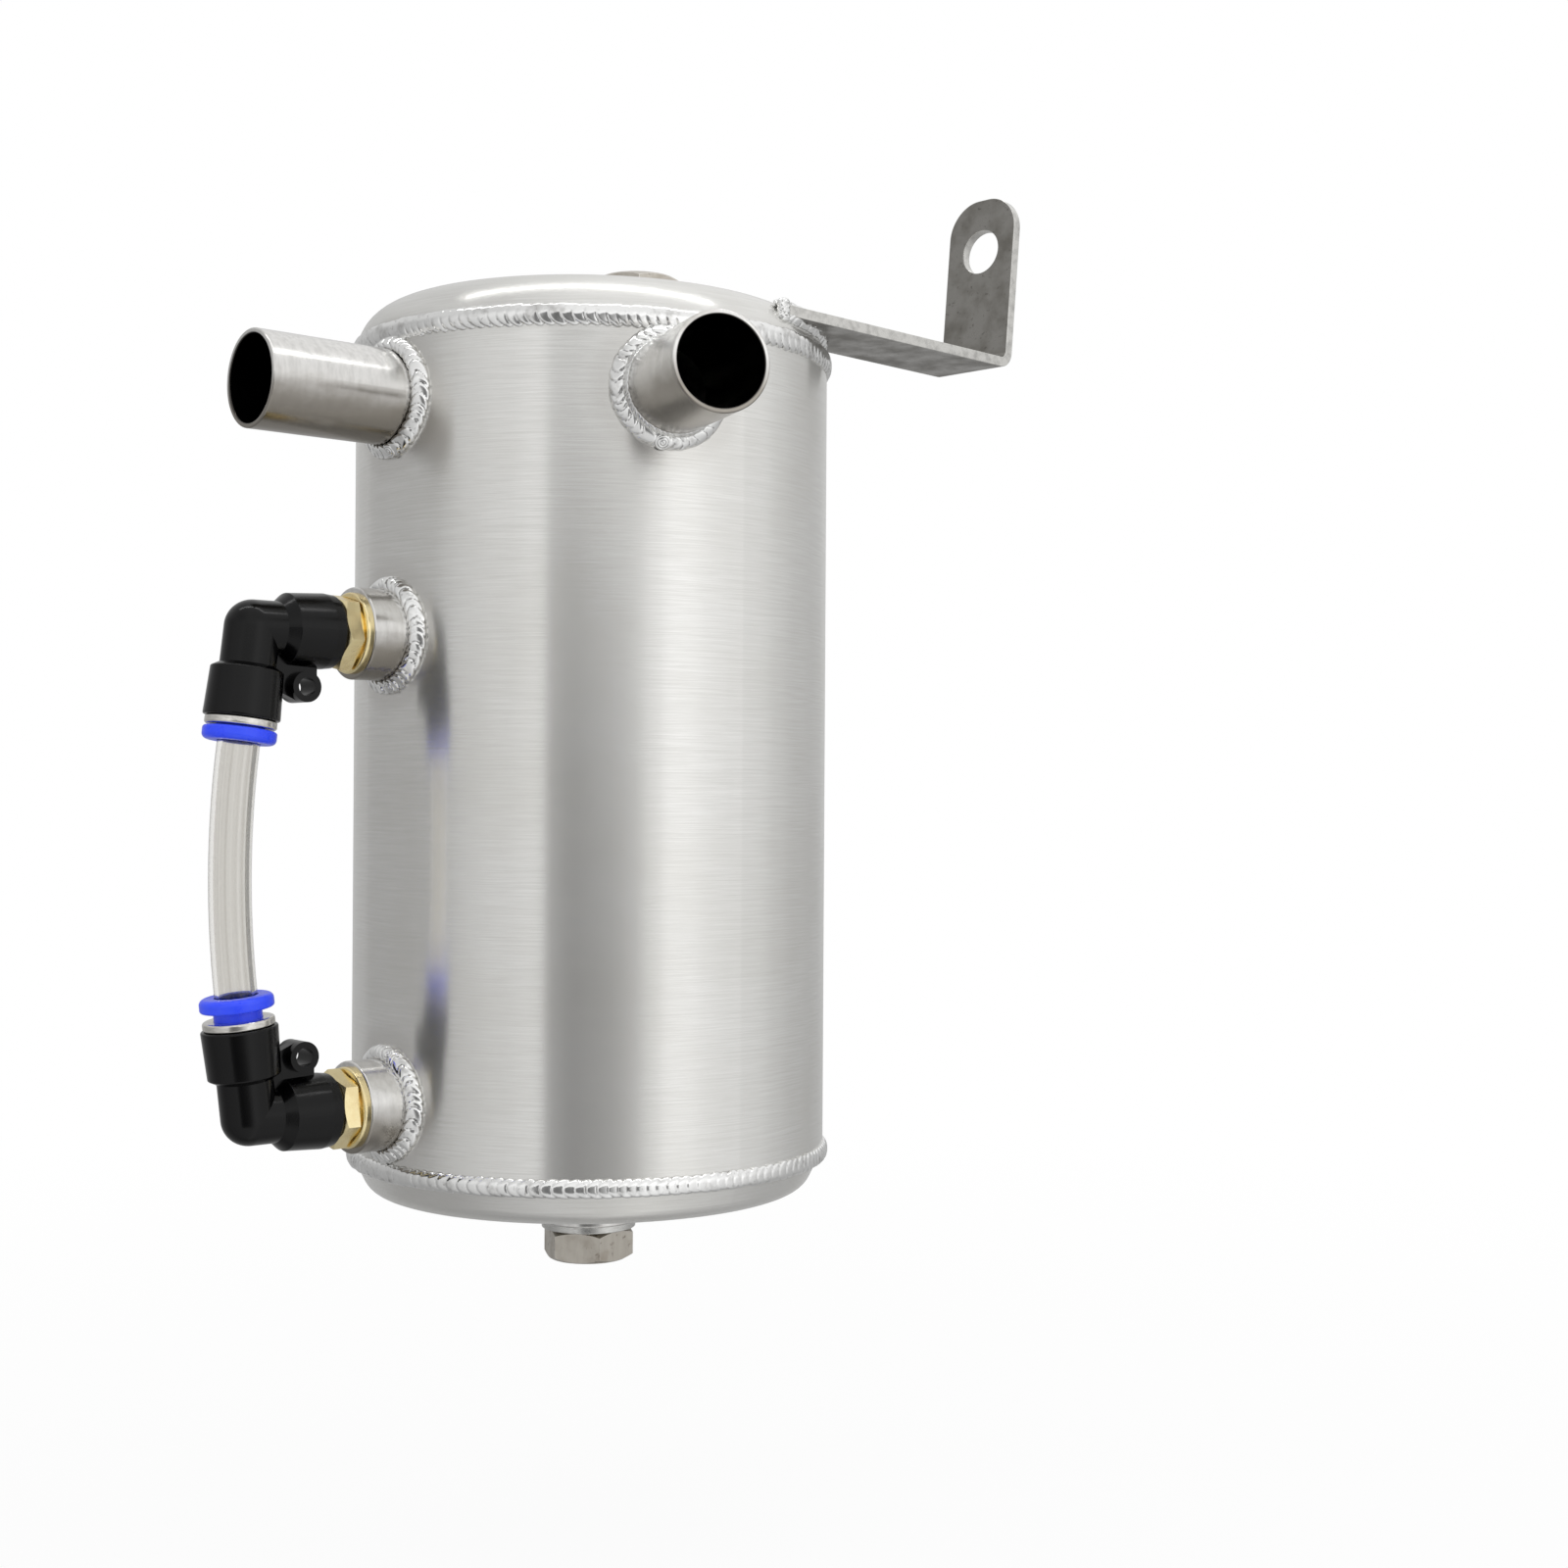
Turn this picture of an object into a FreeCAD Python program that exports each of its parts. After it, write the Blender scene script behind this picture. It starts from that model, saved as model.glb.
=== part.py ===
import FreeCAD, Part
import math
import os

V = FreeCAD.Vector

# An aluminium oil catch can with two hose spigots, a push-in sight tube,
# a drain plug, a top plug and a welded side bracket.
# Everything is drawn about the can's axis with the base at height 0, the inlet
# and the sight tube towards -Y, and is then moved so that the origin is the
# centre of the bracket's bolt hole on the tab's outer face.

# Can shell
CAN_RADIUS = 50.0
WALL = 2.0
CAN_HEIGHT = 185.0
LID_KNUCKLE = 9.7
BASE_DRAFT_DEG = 26.0
BASE_CORNER = 5.0
LOWER_SEAM_HEIGHT = 8.25
UPPER_SEAM_HEIGHT = CAN_HEIGHT - LID_KNUCKLE

# Weld beads
UPPER_SEAM_WIDTH = 4.7
LOWER_SEAM_WIDTH = 3.3
SEAM_PROUD = 1.1
RING_BEAD_WIDTH = 2.7
RING_BEAD_PROUD = 2.0
RING_BEAD_ROUND = 1.8
PLUG_BEAD = 1.9
ROOT_BEAD = 2.0
ROOT_BEAD_RUN_ON = 3.0
WELD_GAP = 0.05

# Hose spigots
SPIGOT_RADIUS = 9.5
SPIGOT_WALL = 1.0
SPIGOT_BELOW_SEAM = 13.2
SPIGOT_INSIDE = 2.0
SPIGOT_SHOULDER = 0.2
SHOULDER_SHOWS = 0.2
INLET_PROUD = 30.6
OUTLET_PROUD = 27.7
OUTLET_TURN_DEG = 71.0
RIM_ROUND = 0.3

# Sight tube bungs on the can wall
BUNG_RADIUS = 9.1
BUNG_PROUD = 8.4
BUNG_INSIDE = 1.0
BUNG_EDGE = 0.4
UPPER_BUNG_HEIGHT = 114.8
LOWER_BUNG_HEIGHT = 21.7
THREAD_RADIUS = 6.5
THREAD_GAP = 0.06

# Brass stud
STUD_FLANGE_RADIUS = 8.0
STUD_FLANGE = 1.0
STUD_NECK_RADIUS = 6.3
STUD_NECK = 0.4
STUD_HEX_FLATS = 13.5
STUD_HEX = 3.4
STUD_HEX_BEVEL = 0.8
STUD_SHANK = 8.5
STUD_PIN_RADIUS = 4.94
STUD_PIN = 7.6
STUD_RING_GROOVE_AT = 3.2
STUD_RING_SECTION = 0.7
UPPER_STUD_TURN_DEG = 47.0
LOWER_STUD_TURN_DEG = 39.0
STUD_EDGE = 0.4
STUD_END_GAP = 0.3
PASSAGE_RADIUS = 2.6

# Push-in elbow
ARM_RADIUS = 7.4
ARM_LENGTH = 9.7
ARM_END_RADIUS = 7.15
ARM_END_TAPER = 2.2
ARM_SHOULDER_RADIUS = 7.0
ARM_SHOULDER = 1.9
ARM_EDGE = 0.3
ARM_BORE_RADIUS = 5.0
CORNER_REACH = 21.3
CORNER_RADIUS = 5.3
PORT_SPLAY_DEG = 7.0
PORT_DROP = 17.3
PORT_SHOULDER = 7.2
PORT_SHOULDER_RADIUS = 6.85
PORT_MOUTH_RADIUS = 7.25
PORT_SHOULDER_EDGE = 0.9
PORT_EDGE = 0.4
CHAMBER_RADIUS = 5.6
CHAMBER_DEPTH = 6.2
EYELET_OUT = 11.2
EYELET_DROP = 11.0
EYELET_RADIUS = 3.0
EYELET_BORE = 1.8
EYELET_LENGTH = 6.0
WEB_THICKNESS = 2.4
WEB_RISE = 1.2
WEB_TOUCH_DEG = 23.9

# Sight tube and what holds it
TUBE_RADIUS = 4.0
TUBE_WALL = 1.0
TUBE_GAP = 0.05
TUBE_INSERT = 9.8
SEAL_SECTION = 0.8
CLAW_THICKNESS = 0.35
CLAW_RISE = 1.0
CLAW_SLOTS = 8
CLAW_SLOT_WIDTH = 0.7
CLAW_WASHER = 0.5
PRESS_GAP = 0.02
CAP_RING_RADIUS = 6.75
CAP_RING = 1.7
CAP_RING_SKIRT = 1.6
CAP_RING_EDGE = 0.5
COLLAR_RADIUS = 6.95
COLLAR_FLANGE = 2.6
COLLAR_EDGE = 1.1
COLLAR_LEAD = 0.2
COLLAR_LEAD_LENGTH = 1.2
COLLAR_NECK_RADIUS = 4.55
COLLAR_GAP = 0.06
CLAW_REST = 0.35
COLLAR_PRESSED = 0.3
COLLAR_OUT = 1.8

# Drain plug and top plug
PLUG_FLATS = 17.0
PLUG_HEX = 6.6
PLUG_BEVEL = 0.9
PLUG_THREAD_RADIUS = 7.0
PLUG_SHANK = 10.0
PLUG_NECK = 0.5
WASHER_RADIUS = 10.0
WASHER = 1.5
WASHER_GAP = 0.15
WASHER_EDGE = 0.25
PLUG_TIP_EDGE = 1.0
PLUG_BUNG_RADIUS = 11.0
DRAIN_BUNG_PROUD = 7.4
TOP_BUNG_PROUD = 2.7
PLUG_BUNG_INSIDE = 1.5
PLUG_BUNG_EDGE = 0.4
TOP_PLUG_OFFSET = 11.7
DRAIN_PLUG_TURN_DEG = 22.1
TOP_PLUG_TURN_DEG = 24.3

# Bracket
BRACKET_TURN_DEG = 4.7
STRAP_INSET = 10.8
STRAP_WIDTH = 18.8
STRAP_THICKNESS = 2.2
STRAP_DROP = 2.3
STRAP_START = 10.0
STRAP_PROUD = 30.5
BEND_RADIUS = 1.6
TAB_LEAN_DEG = 5.5
TAB_HEIGHT = 38.3
TAB_CORNER = 8.0
HOLE_HEIGHT = 26.1
HOLE_RADIUS = 5.0

# How far a cutter runs past what it cuts
OVERRUN = 1.0

# Derived places
INLET_REACH = CAN_RADIUS + INLET_PROUD
OUTLET_REACH = CAN_RADIUS + OUTLET_PROUD
SPIGOT_INNER_END = CAN_RADIUS - WALL - SPIGOT_INSIDE
BUNG_FACE = CAN_RADIUS + BUNG_PROUD
BUNG_INNER_END = CAN_RADIUS - WALL - BUNG_INSIDE
STRAP_OFFSET = CAN_RADIUS - STRAP_INSET
STRAP_REACH = CAN_RADIUS + STRAP_PROUD
SPIGOT_HEIGHT = UPPER_SEAM_HEIGHT - SPIGOT_BELOW_SEAM
SPIGOT_ROOT_RADIUS = SPIGOT_RADIUS - SPIGOT_SHOULDER
SPIGOT_ROOT_END = CAN_RADIUS + RING_BEAD_PROUD + SHOULDER_SHOWS
STRAP_TOP = CAN_HEIGHT - STRAP_DROP
TAB_LEAN = math.radians(TAB_LEAN_DEG)
PORT_SPLAY = math.radians(PORT_SPLAY_DEG)
PORT_LENGTH = PORT_DROP / math.cos(PORT_SPLAY)
ARM_FACE = BUNG_FACE + STUD_FLANGE + STUD_NECK + STUD_HEX
MIDDLE_HEIGHT = (UPPER_BUNG_HEIGHT + LOWER_BUNG_HEIGHT) / 2
COLLAR_NECK = CAP_RING + COLLAR_PRESSED + CAP_RING_SKIRT + CLAW_REST
TUBE_STRAIGHT = PORT_LENGTH + CAP_RING + COLLAR_OUT + COLLAR_FLANGE


def corner_arc(before, at, after, radius):
    # The rounded corner that replaces the sharp corner "at".
    to_before = (before - at).normalize()
    to_after = (after - at).normalize()
    half = to_before.getAngle(to_after) / 2
    start = at + to_before * (radius / math.tan(half))
    end = at + to_after * (radius / math.tan(half))
    centre = at + (to_before + to_after).normalize() * (radius / math.sin(half))
    middle = centre + (at - centre).normalize() * radius
    return start, middle, end


def outline(corners):
    # A closed wire through corners given as (vector, rounding radius).
    edges = []
    count = len(corners)
    ends = []
    for i, (at, radius) in enumerate(corners):
        before = corners[i - 1][0]
        after = corners[(i + 1) % count][0]
        if radius > 0:
            ends.append(corner_arc(before, at, after, radius))
        else:
            ends.append((at, None, at))
    for i in range(count):
        start, middle, end = ends[i]
        if middle is not None:
            edges.append(Part.Arc(start, middle, end).toShape())
        following = ends[(i + 1) % count][0]
        if end.distanceToPoint(following) > 1e-6:
            edges.append(Part.LineSegment(end, following).toShape())
    return Part.Wire(edges)


def turned(corners):
    # A solid of revolution about Z; corners are (radius, height) or
    # (radius, height, rounding).
    listed = [(V(c[0], 0, c[1]), c[2] if len(c) > 2 else 0) for c in corners]
    face = Part.Face(outline(listed))
    return face.revolve(V(0, 0, 0), V(0, 0, 1), 360)


def ring(inner, outer, low, high, rounding=0):
    return turned([(inner, low, rounding), (outer, low, rounding),
                   (outer, high, rounding), (inner, high, rounding)])


def hexagon(flats, height, turn_deg):
    # A hexagonal prism standing on height 0, a corner at turn_deg from +X.
    points = []
    for i in range(7):
        angle = math.radians(turn_deg + 60 * i)
        radius = flats / math.sqrt(3)
        points.append(V(radius * math.cos(angle), radius * math.sin(angle), 0))
    return Part.Face(Part.makePolygon(points)).extrude(V(0, 0, height))


def bevelled_hexagon(flats, height, turn_deg, bevel, both_ends=False):
    # The hexagon with its top corners turned off, and its bottom ones where asked.
    reach = flats / math.sqrt(3) + OVERRUN
    flat_radius = flats / 2 - bevel / 2
    slope = (reach - flat_radius) * math.tan(math.radians(30))
    foot = [(flat_radius, 0), (reach, slope)] if both_ends else [(reach, 0)]
    limit = turned([(0, 0), *foot, (reach, height - slope), (flat_radius, height), (0, height)])
    return hexagon(flats, height, turn_deg).common(limit)


def out_towards_inlet(shape):
    # Turns a piece drawn up along +Z so that it points along -Y.
    shape.rotate(V(0, 0, 0), V(1, 0, 0), 90)
    return shape


def at_bung(shape):
    # The same for a piece of the upper sight fitting.
    out_towards_inlet(shape)
    shape.translate(V(0, 0, UPPER_BUNG_HEIGHT))
    return shape


def on_port(shape):
    # Moves a piece drawn down from the elbow's corner on to the splayed port.
    shape.rotate(V(0, 0, 0), V(1, 0, 0), -PORT_SPLAY_DEG)
    shape.translate(V(0, -(BUNG_FACE + CORNER_REACH), UPPER_BUNG_HEIGHT))
    return shape


def for_side(shape, side):
    # The lower fitting is the upper one turned over.
    if side == "lower":
        return shape.mirror(V(0, 0, MIDDLE_HEIGHT), V(0, 0, 1))
    return shape


def base_edge_radius():
    return CAN_RADIUS - LOWER_SEAM_HEIGHT * math.tan(math.radians(BASE_DRAFT_DEG))


def lid_solid(inset):
    radius = CAN_RADIUS - inset
    top = CAN_HEIGHT - inset
    return turned([(0, UPPER_SEAM_HEIGHT), (radius, UPPER_SEAM_HEIGHT),
                   (radius, top, LID_KNUCKLE - inset - 0.01), (0, top)])


def base_solid(inset):
    draft = math.tan(math.radians(BASE_DRAFT_DEG))
    foot = base_edge_radius() - inset + inset * draft
    return turned([(0, inset), (foot, inset, BASE_CORNER - inset),
                   (CAN_RADIUS - inset, LOWER_SEAM_HEIGHT), (0, LOWER_SEAM_HEIGHT)])


def can_outside():
    tube = Part.makeCylinder(CAN_RADIUS, UPPER_SEAM_HEIGHT - LOWER_SEAM_HEIGHT,
                             V(0, 0, LOWER_SEAM_HEIGHT))
    return tube.fuse([lid_solid(0), base_solid(0)])


def wall_cutter(radius, height, turn_deg):
    # A round hole through the can wall for a welded-in piece.
    cutter = Part.makeCylinder(radius + WELD_GAP, CAN_RADIUS + OVERRUN,
                               V(0, 0, height), V(0, -1, 0))
    cutter.rotate(V(0, 0, 0), V(0, 0, 1), turn_deg)
    return cutter


def body_tube():
    shell = ring(CAN_RADIUS - WALL, CAN_RADIUS, LOWER_SEAM_HEIGHT, UPPER_SEAM_HEIGHT)
    holes = [wall_cutter(SPIGOT_ROOT_RADIUS, SPIGOT_HEIGHT, 0),
             wall_cutter(SPIGOT_ROOT_RADIUS, SPIGOT_HEIGHT, OUTLET_TURN_DEG),
             wall_cutter(BUNG_RADIUS, UPPER_BUNG_HEIGHT, 0),
             wall_cutter(BUNG_RADIUS, LOWER_BUNG_HEIGHT, 0)]
    return shell.cut(holes)


def plug_hole(y):
    return Part.makeCylinder(PLUG_BUNG_RADIUS + WELD_GAP, CAN_HEIGHT + 2 * OVERRUN,
                             V(0, y, -OVERRUN))


def top_cap():
    hollow = lid_solid(WALL)
    return lid_solid(0).cut([hollow, plug_hole(TOP_PLUG_OFFSET)])


def bottom_cap():
    hollow = base_solid(WALL)
    return base_solid(0).cut([hollow, plug_hole(0)])


def seam_weld(height, width):
    # A bead with an arched section round the can, fitted to the shell.
    half = width / 2
    inside = CAN_RADIUS - SEAM_PROUD
    low = V(inside, 0, height - half)
    high = V(inside, 0, height + half)
    crown = V(CAN_RADIUS + SEAM_PROUD, 0, height)
    section = Part.Wire([Part.Arc(low, crown, high).toShape(),
                         Part.LineSegment(high, low).toShape()])
    bead = Part.Face(section).revolve(V(0, 0, 0), V(0, 0, 1), 360)
    return bead.cut(can_outside())


def saddle_weld(radius, root_radius, height, turn_deg):
    # A bead round a welded-in piece, following the curve of the can wall.
    edge_radius = radius + RING_BEAD_WIDTH
    skin = Part.makeCylinder(CAN_RADIUS + RING_BEAD_PROUD, 4 * edge_radius,
                             V(0, 0, height - 2 * edge_radius))
    bead = skin.common(Part.makeCylinder(edge_radius, 2 * CAN_RADIUS, V(0, 0, height), V(0, -1, 0)))
    rims = [e for e in bead.Edges if e.BoundBox.YMax < -CAN_RADIUS * 0.8
            and e.BoundBox.ZLength > edge_radius]
    bead = bead.makeFillet(RING_BEAD_ROUND, rims)
    wall = Part.makeCylinder(CAN_RADIUS, 4 * edge_radius, V(0, 0, height - 2 * edge_radius))
    inner = Part.makeCylinder(root_radius, 2 * CAN_RADIUS, V(0, 0, height), V(0, -1, 0))
    bead = bead.cut([wall, inner])
    bead.rotate(V(0, 0, 0), V(0, 0, 1), turn_deg)
    return bead


def spigot(reach, turn_deg):
    # A tube whose root is turned down to a shoulder that stands on the weld.
    bore = SPIGOT_RADIUS - SPIGOT_WALL
    tube = turned([(bore, SPIGOT_INNER_END, RIM_ROUND),
                   (SPIGOT_ROOT_RADIUS, SPIGOT_INNER_END, RIM_ROUND),
                   (SPIGOT_ROOT_RADIUS, SPIGOT_ROOT_END), (SPIGOT_RADIUS, SPIGOT_ROOT_END),
                   (SPIGOT_RADIUS, reach, RIM_ROUND), (bore, reach, RIM_ROUND)])
    out_towards_inlet(tube)
    tube.translate(V(0, 0, SPIGOT_HEIGHT))
    tube.rotate(V(0, 0, 0), V(0, 0, 1), turn_deg)
    return tube


def bung(side):
    bush = turned([(THREAD_RADIUS + THREAD_GAP, BUNG_INNER_END), (BUNG_RADIUS, BUNG_INNER_END),
                   (BUNG_RADIUS, BUNG_FACE, BUNG_EDGE),
                   (THREAD_RADIUS + THREAD_GAP, BUNG_FACE)])
    return for_side(at_bung(bush), side)


def stud(side, turn_deg):
    flange_end = BUNG_FACE + STUD_FLANGE
    neck_end = flange_end + STUD_NECK
    groove = ARM_FACE + STUD_RING_GROOVE_AT
    groove_floor = ARM_BORE_RADIUS - 2 * STUD_RING_SECTION
    pin_end = ARM_FACE + STUD_PIN
    body = turned([(PASSAGE_RADIUS, BUNG_FACE - STUD_SHANK),
                   (THREAD_RADIUS, BUNG_FACE - STUD_SHANK, STUD_EDGE), (THREAD_RADIUS, BUNG_FACE),
                   (STUD_FLANGE_RADIUS, BUNG_FACE), (STUD_FLANGE_RADIUS, flange_end, STUD_EDGE),
                   (STUD_NECK_RADIUS, flange_end), (STUD_NECK_RADIUS, ARM_FACE),
                   (STUD_PIN_RADIUS, ARM_FACE), (STUD_PIN_RADIUS, groove),
                   (groove_floor, groove), (groove_floor, groove + 2 * STUD_RING_SECTION),
                   (STUD_PIN_RADIUS, groove + 2 * STUD_RING_SECTION),
                   (STUD_PIN_RADIUS, pin_end, STUD_EDGE), (PASSAGE_RADIUS, pin_end)])
    head = bevelled_hexagon(STUD_HEX_FLATS, STUD_HEX, 0, STUD_HEX_BEVEL)
    head = head.cut(Part.makeCylinder(STUD_PIN_RADIUS, STUD_HEX))
    head.rotate(V(0, 0, 0), V(0, 0, 1), turn_deg if side == "upper" else -turn_deg)
    head.translate(V(0, 0, neck_end))
    return for_side(at_bung(body.fuse(head).removeSplitter()), side)


def stud_ring(side):
    middle = ARM_FACE + STUD_RING_GROOVE_AT + STUD_RING_SECTION
    loop = Part.makeTorus(ARM_BORE_RADIUS - STUD_RING_SECTION, STUD_RING_SECTION,
                          V(0, 0, middle))
    return for_side(at_bung(loop), side)


def elbow_arm():
    shoulder = ARM_FACE + ARM_LENGTH
    arm = turned([(0, ARM_FACE), (ARM_END_RADIUS, ARM_FACE, ARM_EDGE),
                  (ARM_RADIUS, ARM_FACE + ARM_END_TAPER), (ARM_SHOULDER_RADIUS, shoulder, ARM_EDGE),
                  (CORNER_RADIUS, shoulder + ARM_SHOULDER), (0, shoulder + ARM_SHOULDER)])
    stub = Part.makeCylinder(CORNER_RADIUS, BUNG_FACE + CORNER_REACH - ARM_FACE, V(0, 0, ARM_FACE))
    return at_bung(arm.fuse(stub))


def elbow_port():
    edge = PORT_SHOULDER_EDGE
    port = turned([(0, 0), (CORNER_RADIUS, 0), (CORNER_RADIUS, -PORT_SHOULDER),
                   (PORT_SHOULDER_RADIUS, -PORT_SHOULDER - edge, PORT_EDGE),
                   (PORT_MOUTH_RADIUS, -PORT_LENGTH, PORT_EDGE), (0, -PORT_LENGTH)])
    return on_port(port.fuse(Part.makeSphere(CORNER_RADIUS)))


def eyelet_place():
    return V(0, -(BUNG_FACE + EYELET_OUT), UPPER_BUNG_HEIGHT - EYELET_DROP)


def eyelet_barrel(radius):
    centre = eyelet_place()
    return Part.makeCylinder(radius, EYELET_LENGTH, centre - V(EYELET_LENGTH / 2, 0, 0), V(1, 0, 0))


def elbow_web():
    # The flat web in the crook of the elbow that carries the eyelet.
    centre = eyelet_place()
    corner = V(0, -(BUNG_FACE + CORNER_REACH), UPPER_BUNG_HEIGHT)
    touch = math.radians(WEB_TOUCH_DEG)
    low_out = V(0, corner.y, centre.z + WEB_RISE)
    low_in = centre - V(0, EYELET_RADIUS * math.sin(touch), EYELET_RADIUS * math.cos(touch))
    high_in = V(0, centre.y + EYELET_RADIUS, corner.z)
    side_in = centre + V(0, EYELET_RADIUS, 0)
    corners = [(corner, 0), (low_out, 0), (low_in, 0), (side_in, 0), (high_in, 0)]
    plate = Part.Face(outline(corners)).extrude(V(WEB_THICKNESS, 0, 0))
    plate.translate(V(-WEB_THICKNESS / 2, 0, 0))
    return plate


def elbow_bores():
    bore_end = ARM_FACE + STUD_PIN + STUD_END_GAP
    arm_bore = at_bung(turned([(0, ARM_FACE - OVERRUN), (ARM_BORE_RADIUS, ARM_FACE - OVERRUN),
                               (ARM_BORE_RADIUS, bore_end), (PASSAGE_RADIUS, bore_end),
                               (PASSAGE_RADIUS, BUNG_FACE + CORNER_REACH),
                               (0, BUNG_FACE + CORNER_REACH)]))
    chamber_top = -PORT_LENGTH + CHAMBER_DEPTH
    tube_stop = -PORT_LENGTH + TUBE_INSERT
    port_bore = turned([(0, 0), (PASSAGE_RADIUS, 0), (PASSAGE_RADIUS, tube_stop),
                        (TUBE_RADIUS + TUBE_GAP, tube_stop),
                        (TUBE_RADIUS + TUBE_GAP, chamber_top), (CHAMBER_RADIUS, chamber_top),
                        (CHAMBER_RADIUS, -PORT_LENGTH - OVERRUN), (0, -PORT_LENGTH - OVERRUN)])
    port_bore = on_port(port_bore.fuse(Part.makeSphere(PASSAGE_RADIUS)))
    return [arm_bore, port_bore, eyelet_barrel(EYELET_BORE)]


def elbow(side):
    body = elbow_arm().fuse([elbow_port(), elbow_web(), eyelet_barrel(EYELET_RADIUS)])
    body = body.cut(elbow_bores()).removeSplitter()
    return for_side(body, side)


def tube_seal(side):
    # The ring seal at the inner end of the port's chamber.
    height = -PORT_LENGTH + CHAMBER_DEPTH - SEAL_SECTION
    loop = Part.makeTorus(TUBE_RADIUS + SEAL_SECTION, SEAL_SECTION, V(0, 0, height))
    return for_side(on_port(loop), side)


def grip_claw(side):
    # A slotted steel cone clamped between the seal's seat and the cap ring.
    rim = -PORT_LENGTH + CAP_RING_SKIRT
    outer = CHAMBER_RADIUS - PRESS_GAP
    inner = TUBE_RADIUS + PRESS_GAP
    washer_edge = outer - CLAW_WASHER
    cone = turned([(outer, rim), (outer, rim + CLAW_THICKNESS), (washer_edge, rim + CLAW_THICKNESS),
                   (inner, rim + CLAW_THICKNESS + CLAW_RISE), (inner, rim + CLAW_RISE),
                   (washer_edge, rim)])
    slot = Part.makeBox(washer_edge, CLAW_SLOT_WIDTH, CLAW_RISE + CLAW_THICKNESS + 2 * OVERRUN,
                        V(0, -CLAW_SLOT_WIDTH / 2, rim - OVERRUN))
    slots = []
    for i in range(CLAW_SLOTS):
        turned_slot = slot.copy()
        turned_slot.rotate(V(0, 0, 0), V(0, 0, 1), 360 * i / CLAW_SLOTS)
        slots.append(turned_slot)
    return for_side(on_port(cone.cut(slots)), side)


def cap_ring(side):
    # The plated ring that closes the port's chamber.
    bore = COLLAR_NECK_RADIUS + COLLAR_GAP
    mouth = -PORT_LENGTH
    skirt = CHAMBER_RADIUS - PRESS_GAP
    shape = turned([(bore, mouth + CAP_RING_SKIRT), (skirt, mouth + CAP_RING_SKIRT),
                    (skirt, mouth), (CAP_RING_RADIUS, mouth, CAP_RING_EDGE),
                    (CAP_RING_RADIUS, mouth - CAP_RING, CAP_RING_EDGE), (bore, mouth - CAP_RING)])
    return for_side(on_port(shape), side)


def release_collar(side, gap):
    # The collar that is pressed in to let the tube go.
    seat = -PORT_LENGTH - CAP_RING - gap
    end = seat - COLLAR_FLANGE
    bore = TUBE_RADIUS + TUBE_GAP
    shape = turned([(bore, seat + COLLAR_NECK - COLLAR_LEAD_LENGTH),
                    (bore + COLLAR_LEAD, seat + COLLAR_NECK),
                    (COLLAR_NECK_RADIUS, seat + COLLAR_NECK), (COLLAR_NECK_RADIUS, seat),
                    (COLLAR_RADIUS, seat, COLLAR_EDGE / 2), (COLLAR_RADIUS, end, COLLAR_EDGE),
                    (bore, end, COLLAR_LEAD)])
    return for_side(on_port(shape), side)


def sight_tube():
    # Straight in both ports and through the collars, bowed in one arc between.
    corner_y = -(BUNG_FACE + CORNER_REACH)
    bow_start = V(0, corner_y - TUBE_STRAIGHT * math.sin(PORT_SPLAY),
                  UPPER_BUNG_HEIGHT - TUBE_STRAIGHT * math.cos(PORT_SPLAY))
    bow_radius = (bow_start.z - MIDDLE_HEIGHT) / math.sin(PORT_SPLAY)
    stop = -PORT_LENGTH + TUBE_INSERT - TUBE_GAP
    inner = TUBE_RADIUS - TUBE_WALL
    upper = on_port(ring(inner, TUBE_RADIUS, -TUBE_STRAIGHT, stop))
    lower = for_side(upper, "lower")
    along = V(0, -math.sin(PORT_SPLAY), -math.cos(PORT_SPLAY))
    section = Part.Face([Part.Wire(Part.Circle(bow_start, along, TUBE_RADIUS).toShape()),
                         Part.Wire(Part.Circle(bow_start, along, inner).toShape())])
    centre = V(0, bow_start.y + bow_radius * math.cos(PORT_SPLAY), MIDDLE_HEIGHT)
    bow = section.revolve(centre, V(1, 0, 0), 2 * PORT_SPLAY_DEG)
    return bow.fuse([upper, lower]).removeSplitter()


def plug_bung(proud):
    # A threaded bush standing proud of a cap along +Z, with the cap's face at 0.
    inside = -(WALL + PLUG_BUNG_INSIDE)
    return turned([(PLUG_THREAD_RADIUS + THREAD_GAP, inside), (PLUG_BUNG_RADIUS, inside),
                   (PLUG_BUNG_RADIUS, proud, PLUG_BUNG_EDGE),
                   (PLUG_THREAD_RADIUS + THREAD_GAP, proud)])


def plug_weld():
    loop = Part.makeTorus(PLUG_BUNG_RADIUS, PLUG_BEAD)
    inner = Part.makeCylinder(PLUG_BUNG_RADIUS, 2 * PLUG_BEAD, V(0, 0, -PLUG_BEAD))
    span = PLUG_BUNG_RADIUS + 2 * PLUG_BEAD
    below = Part.makeBox(2 * span, 2 * span, 2 * PLUG_BEAD, V(-span, -span, -2 * PLUG_BEAD))
    return loop.cut([inner, below])


def plug_washer(proud):
    return ring(PLUG_THREAD_RADIUS + WASHER_GAP, WASHER_RADIUS, proud, proud + WASHER, WASHER_EDGE)


def plug(proud, turn_deg):
    seat = proud + WASHER
    tip = proud - PLUG_SHANK
    shank = turned([(0, tip), (PLUG_THREAD_RADIUS, tip, PLUG_TIP_EDGE),
                    (PLUG_THREAD_RADIUS, seat + PLUG_NECK), (0, seat + PLUG_NECK)])
    head = bevelled_hexagon(PLUG_FLATS, PLUG_HEX, turn_deg, PLUG_BEVEL, both_ends=True)
    head.translate(V(0, 0, seat))
    return shank.fuse(head).removeSplitter()


def on_lid(shape):
    shape.translate(V(0, TOP_PLUG_OFFSET, CAN_HEIGHT))
    return shape


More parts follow.
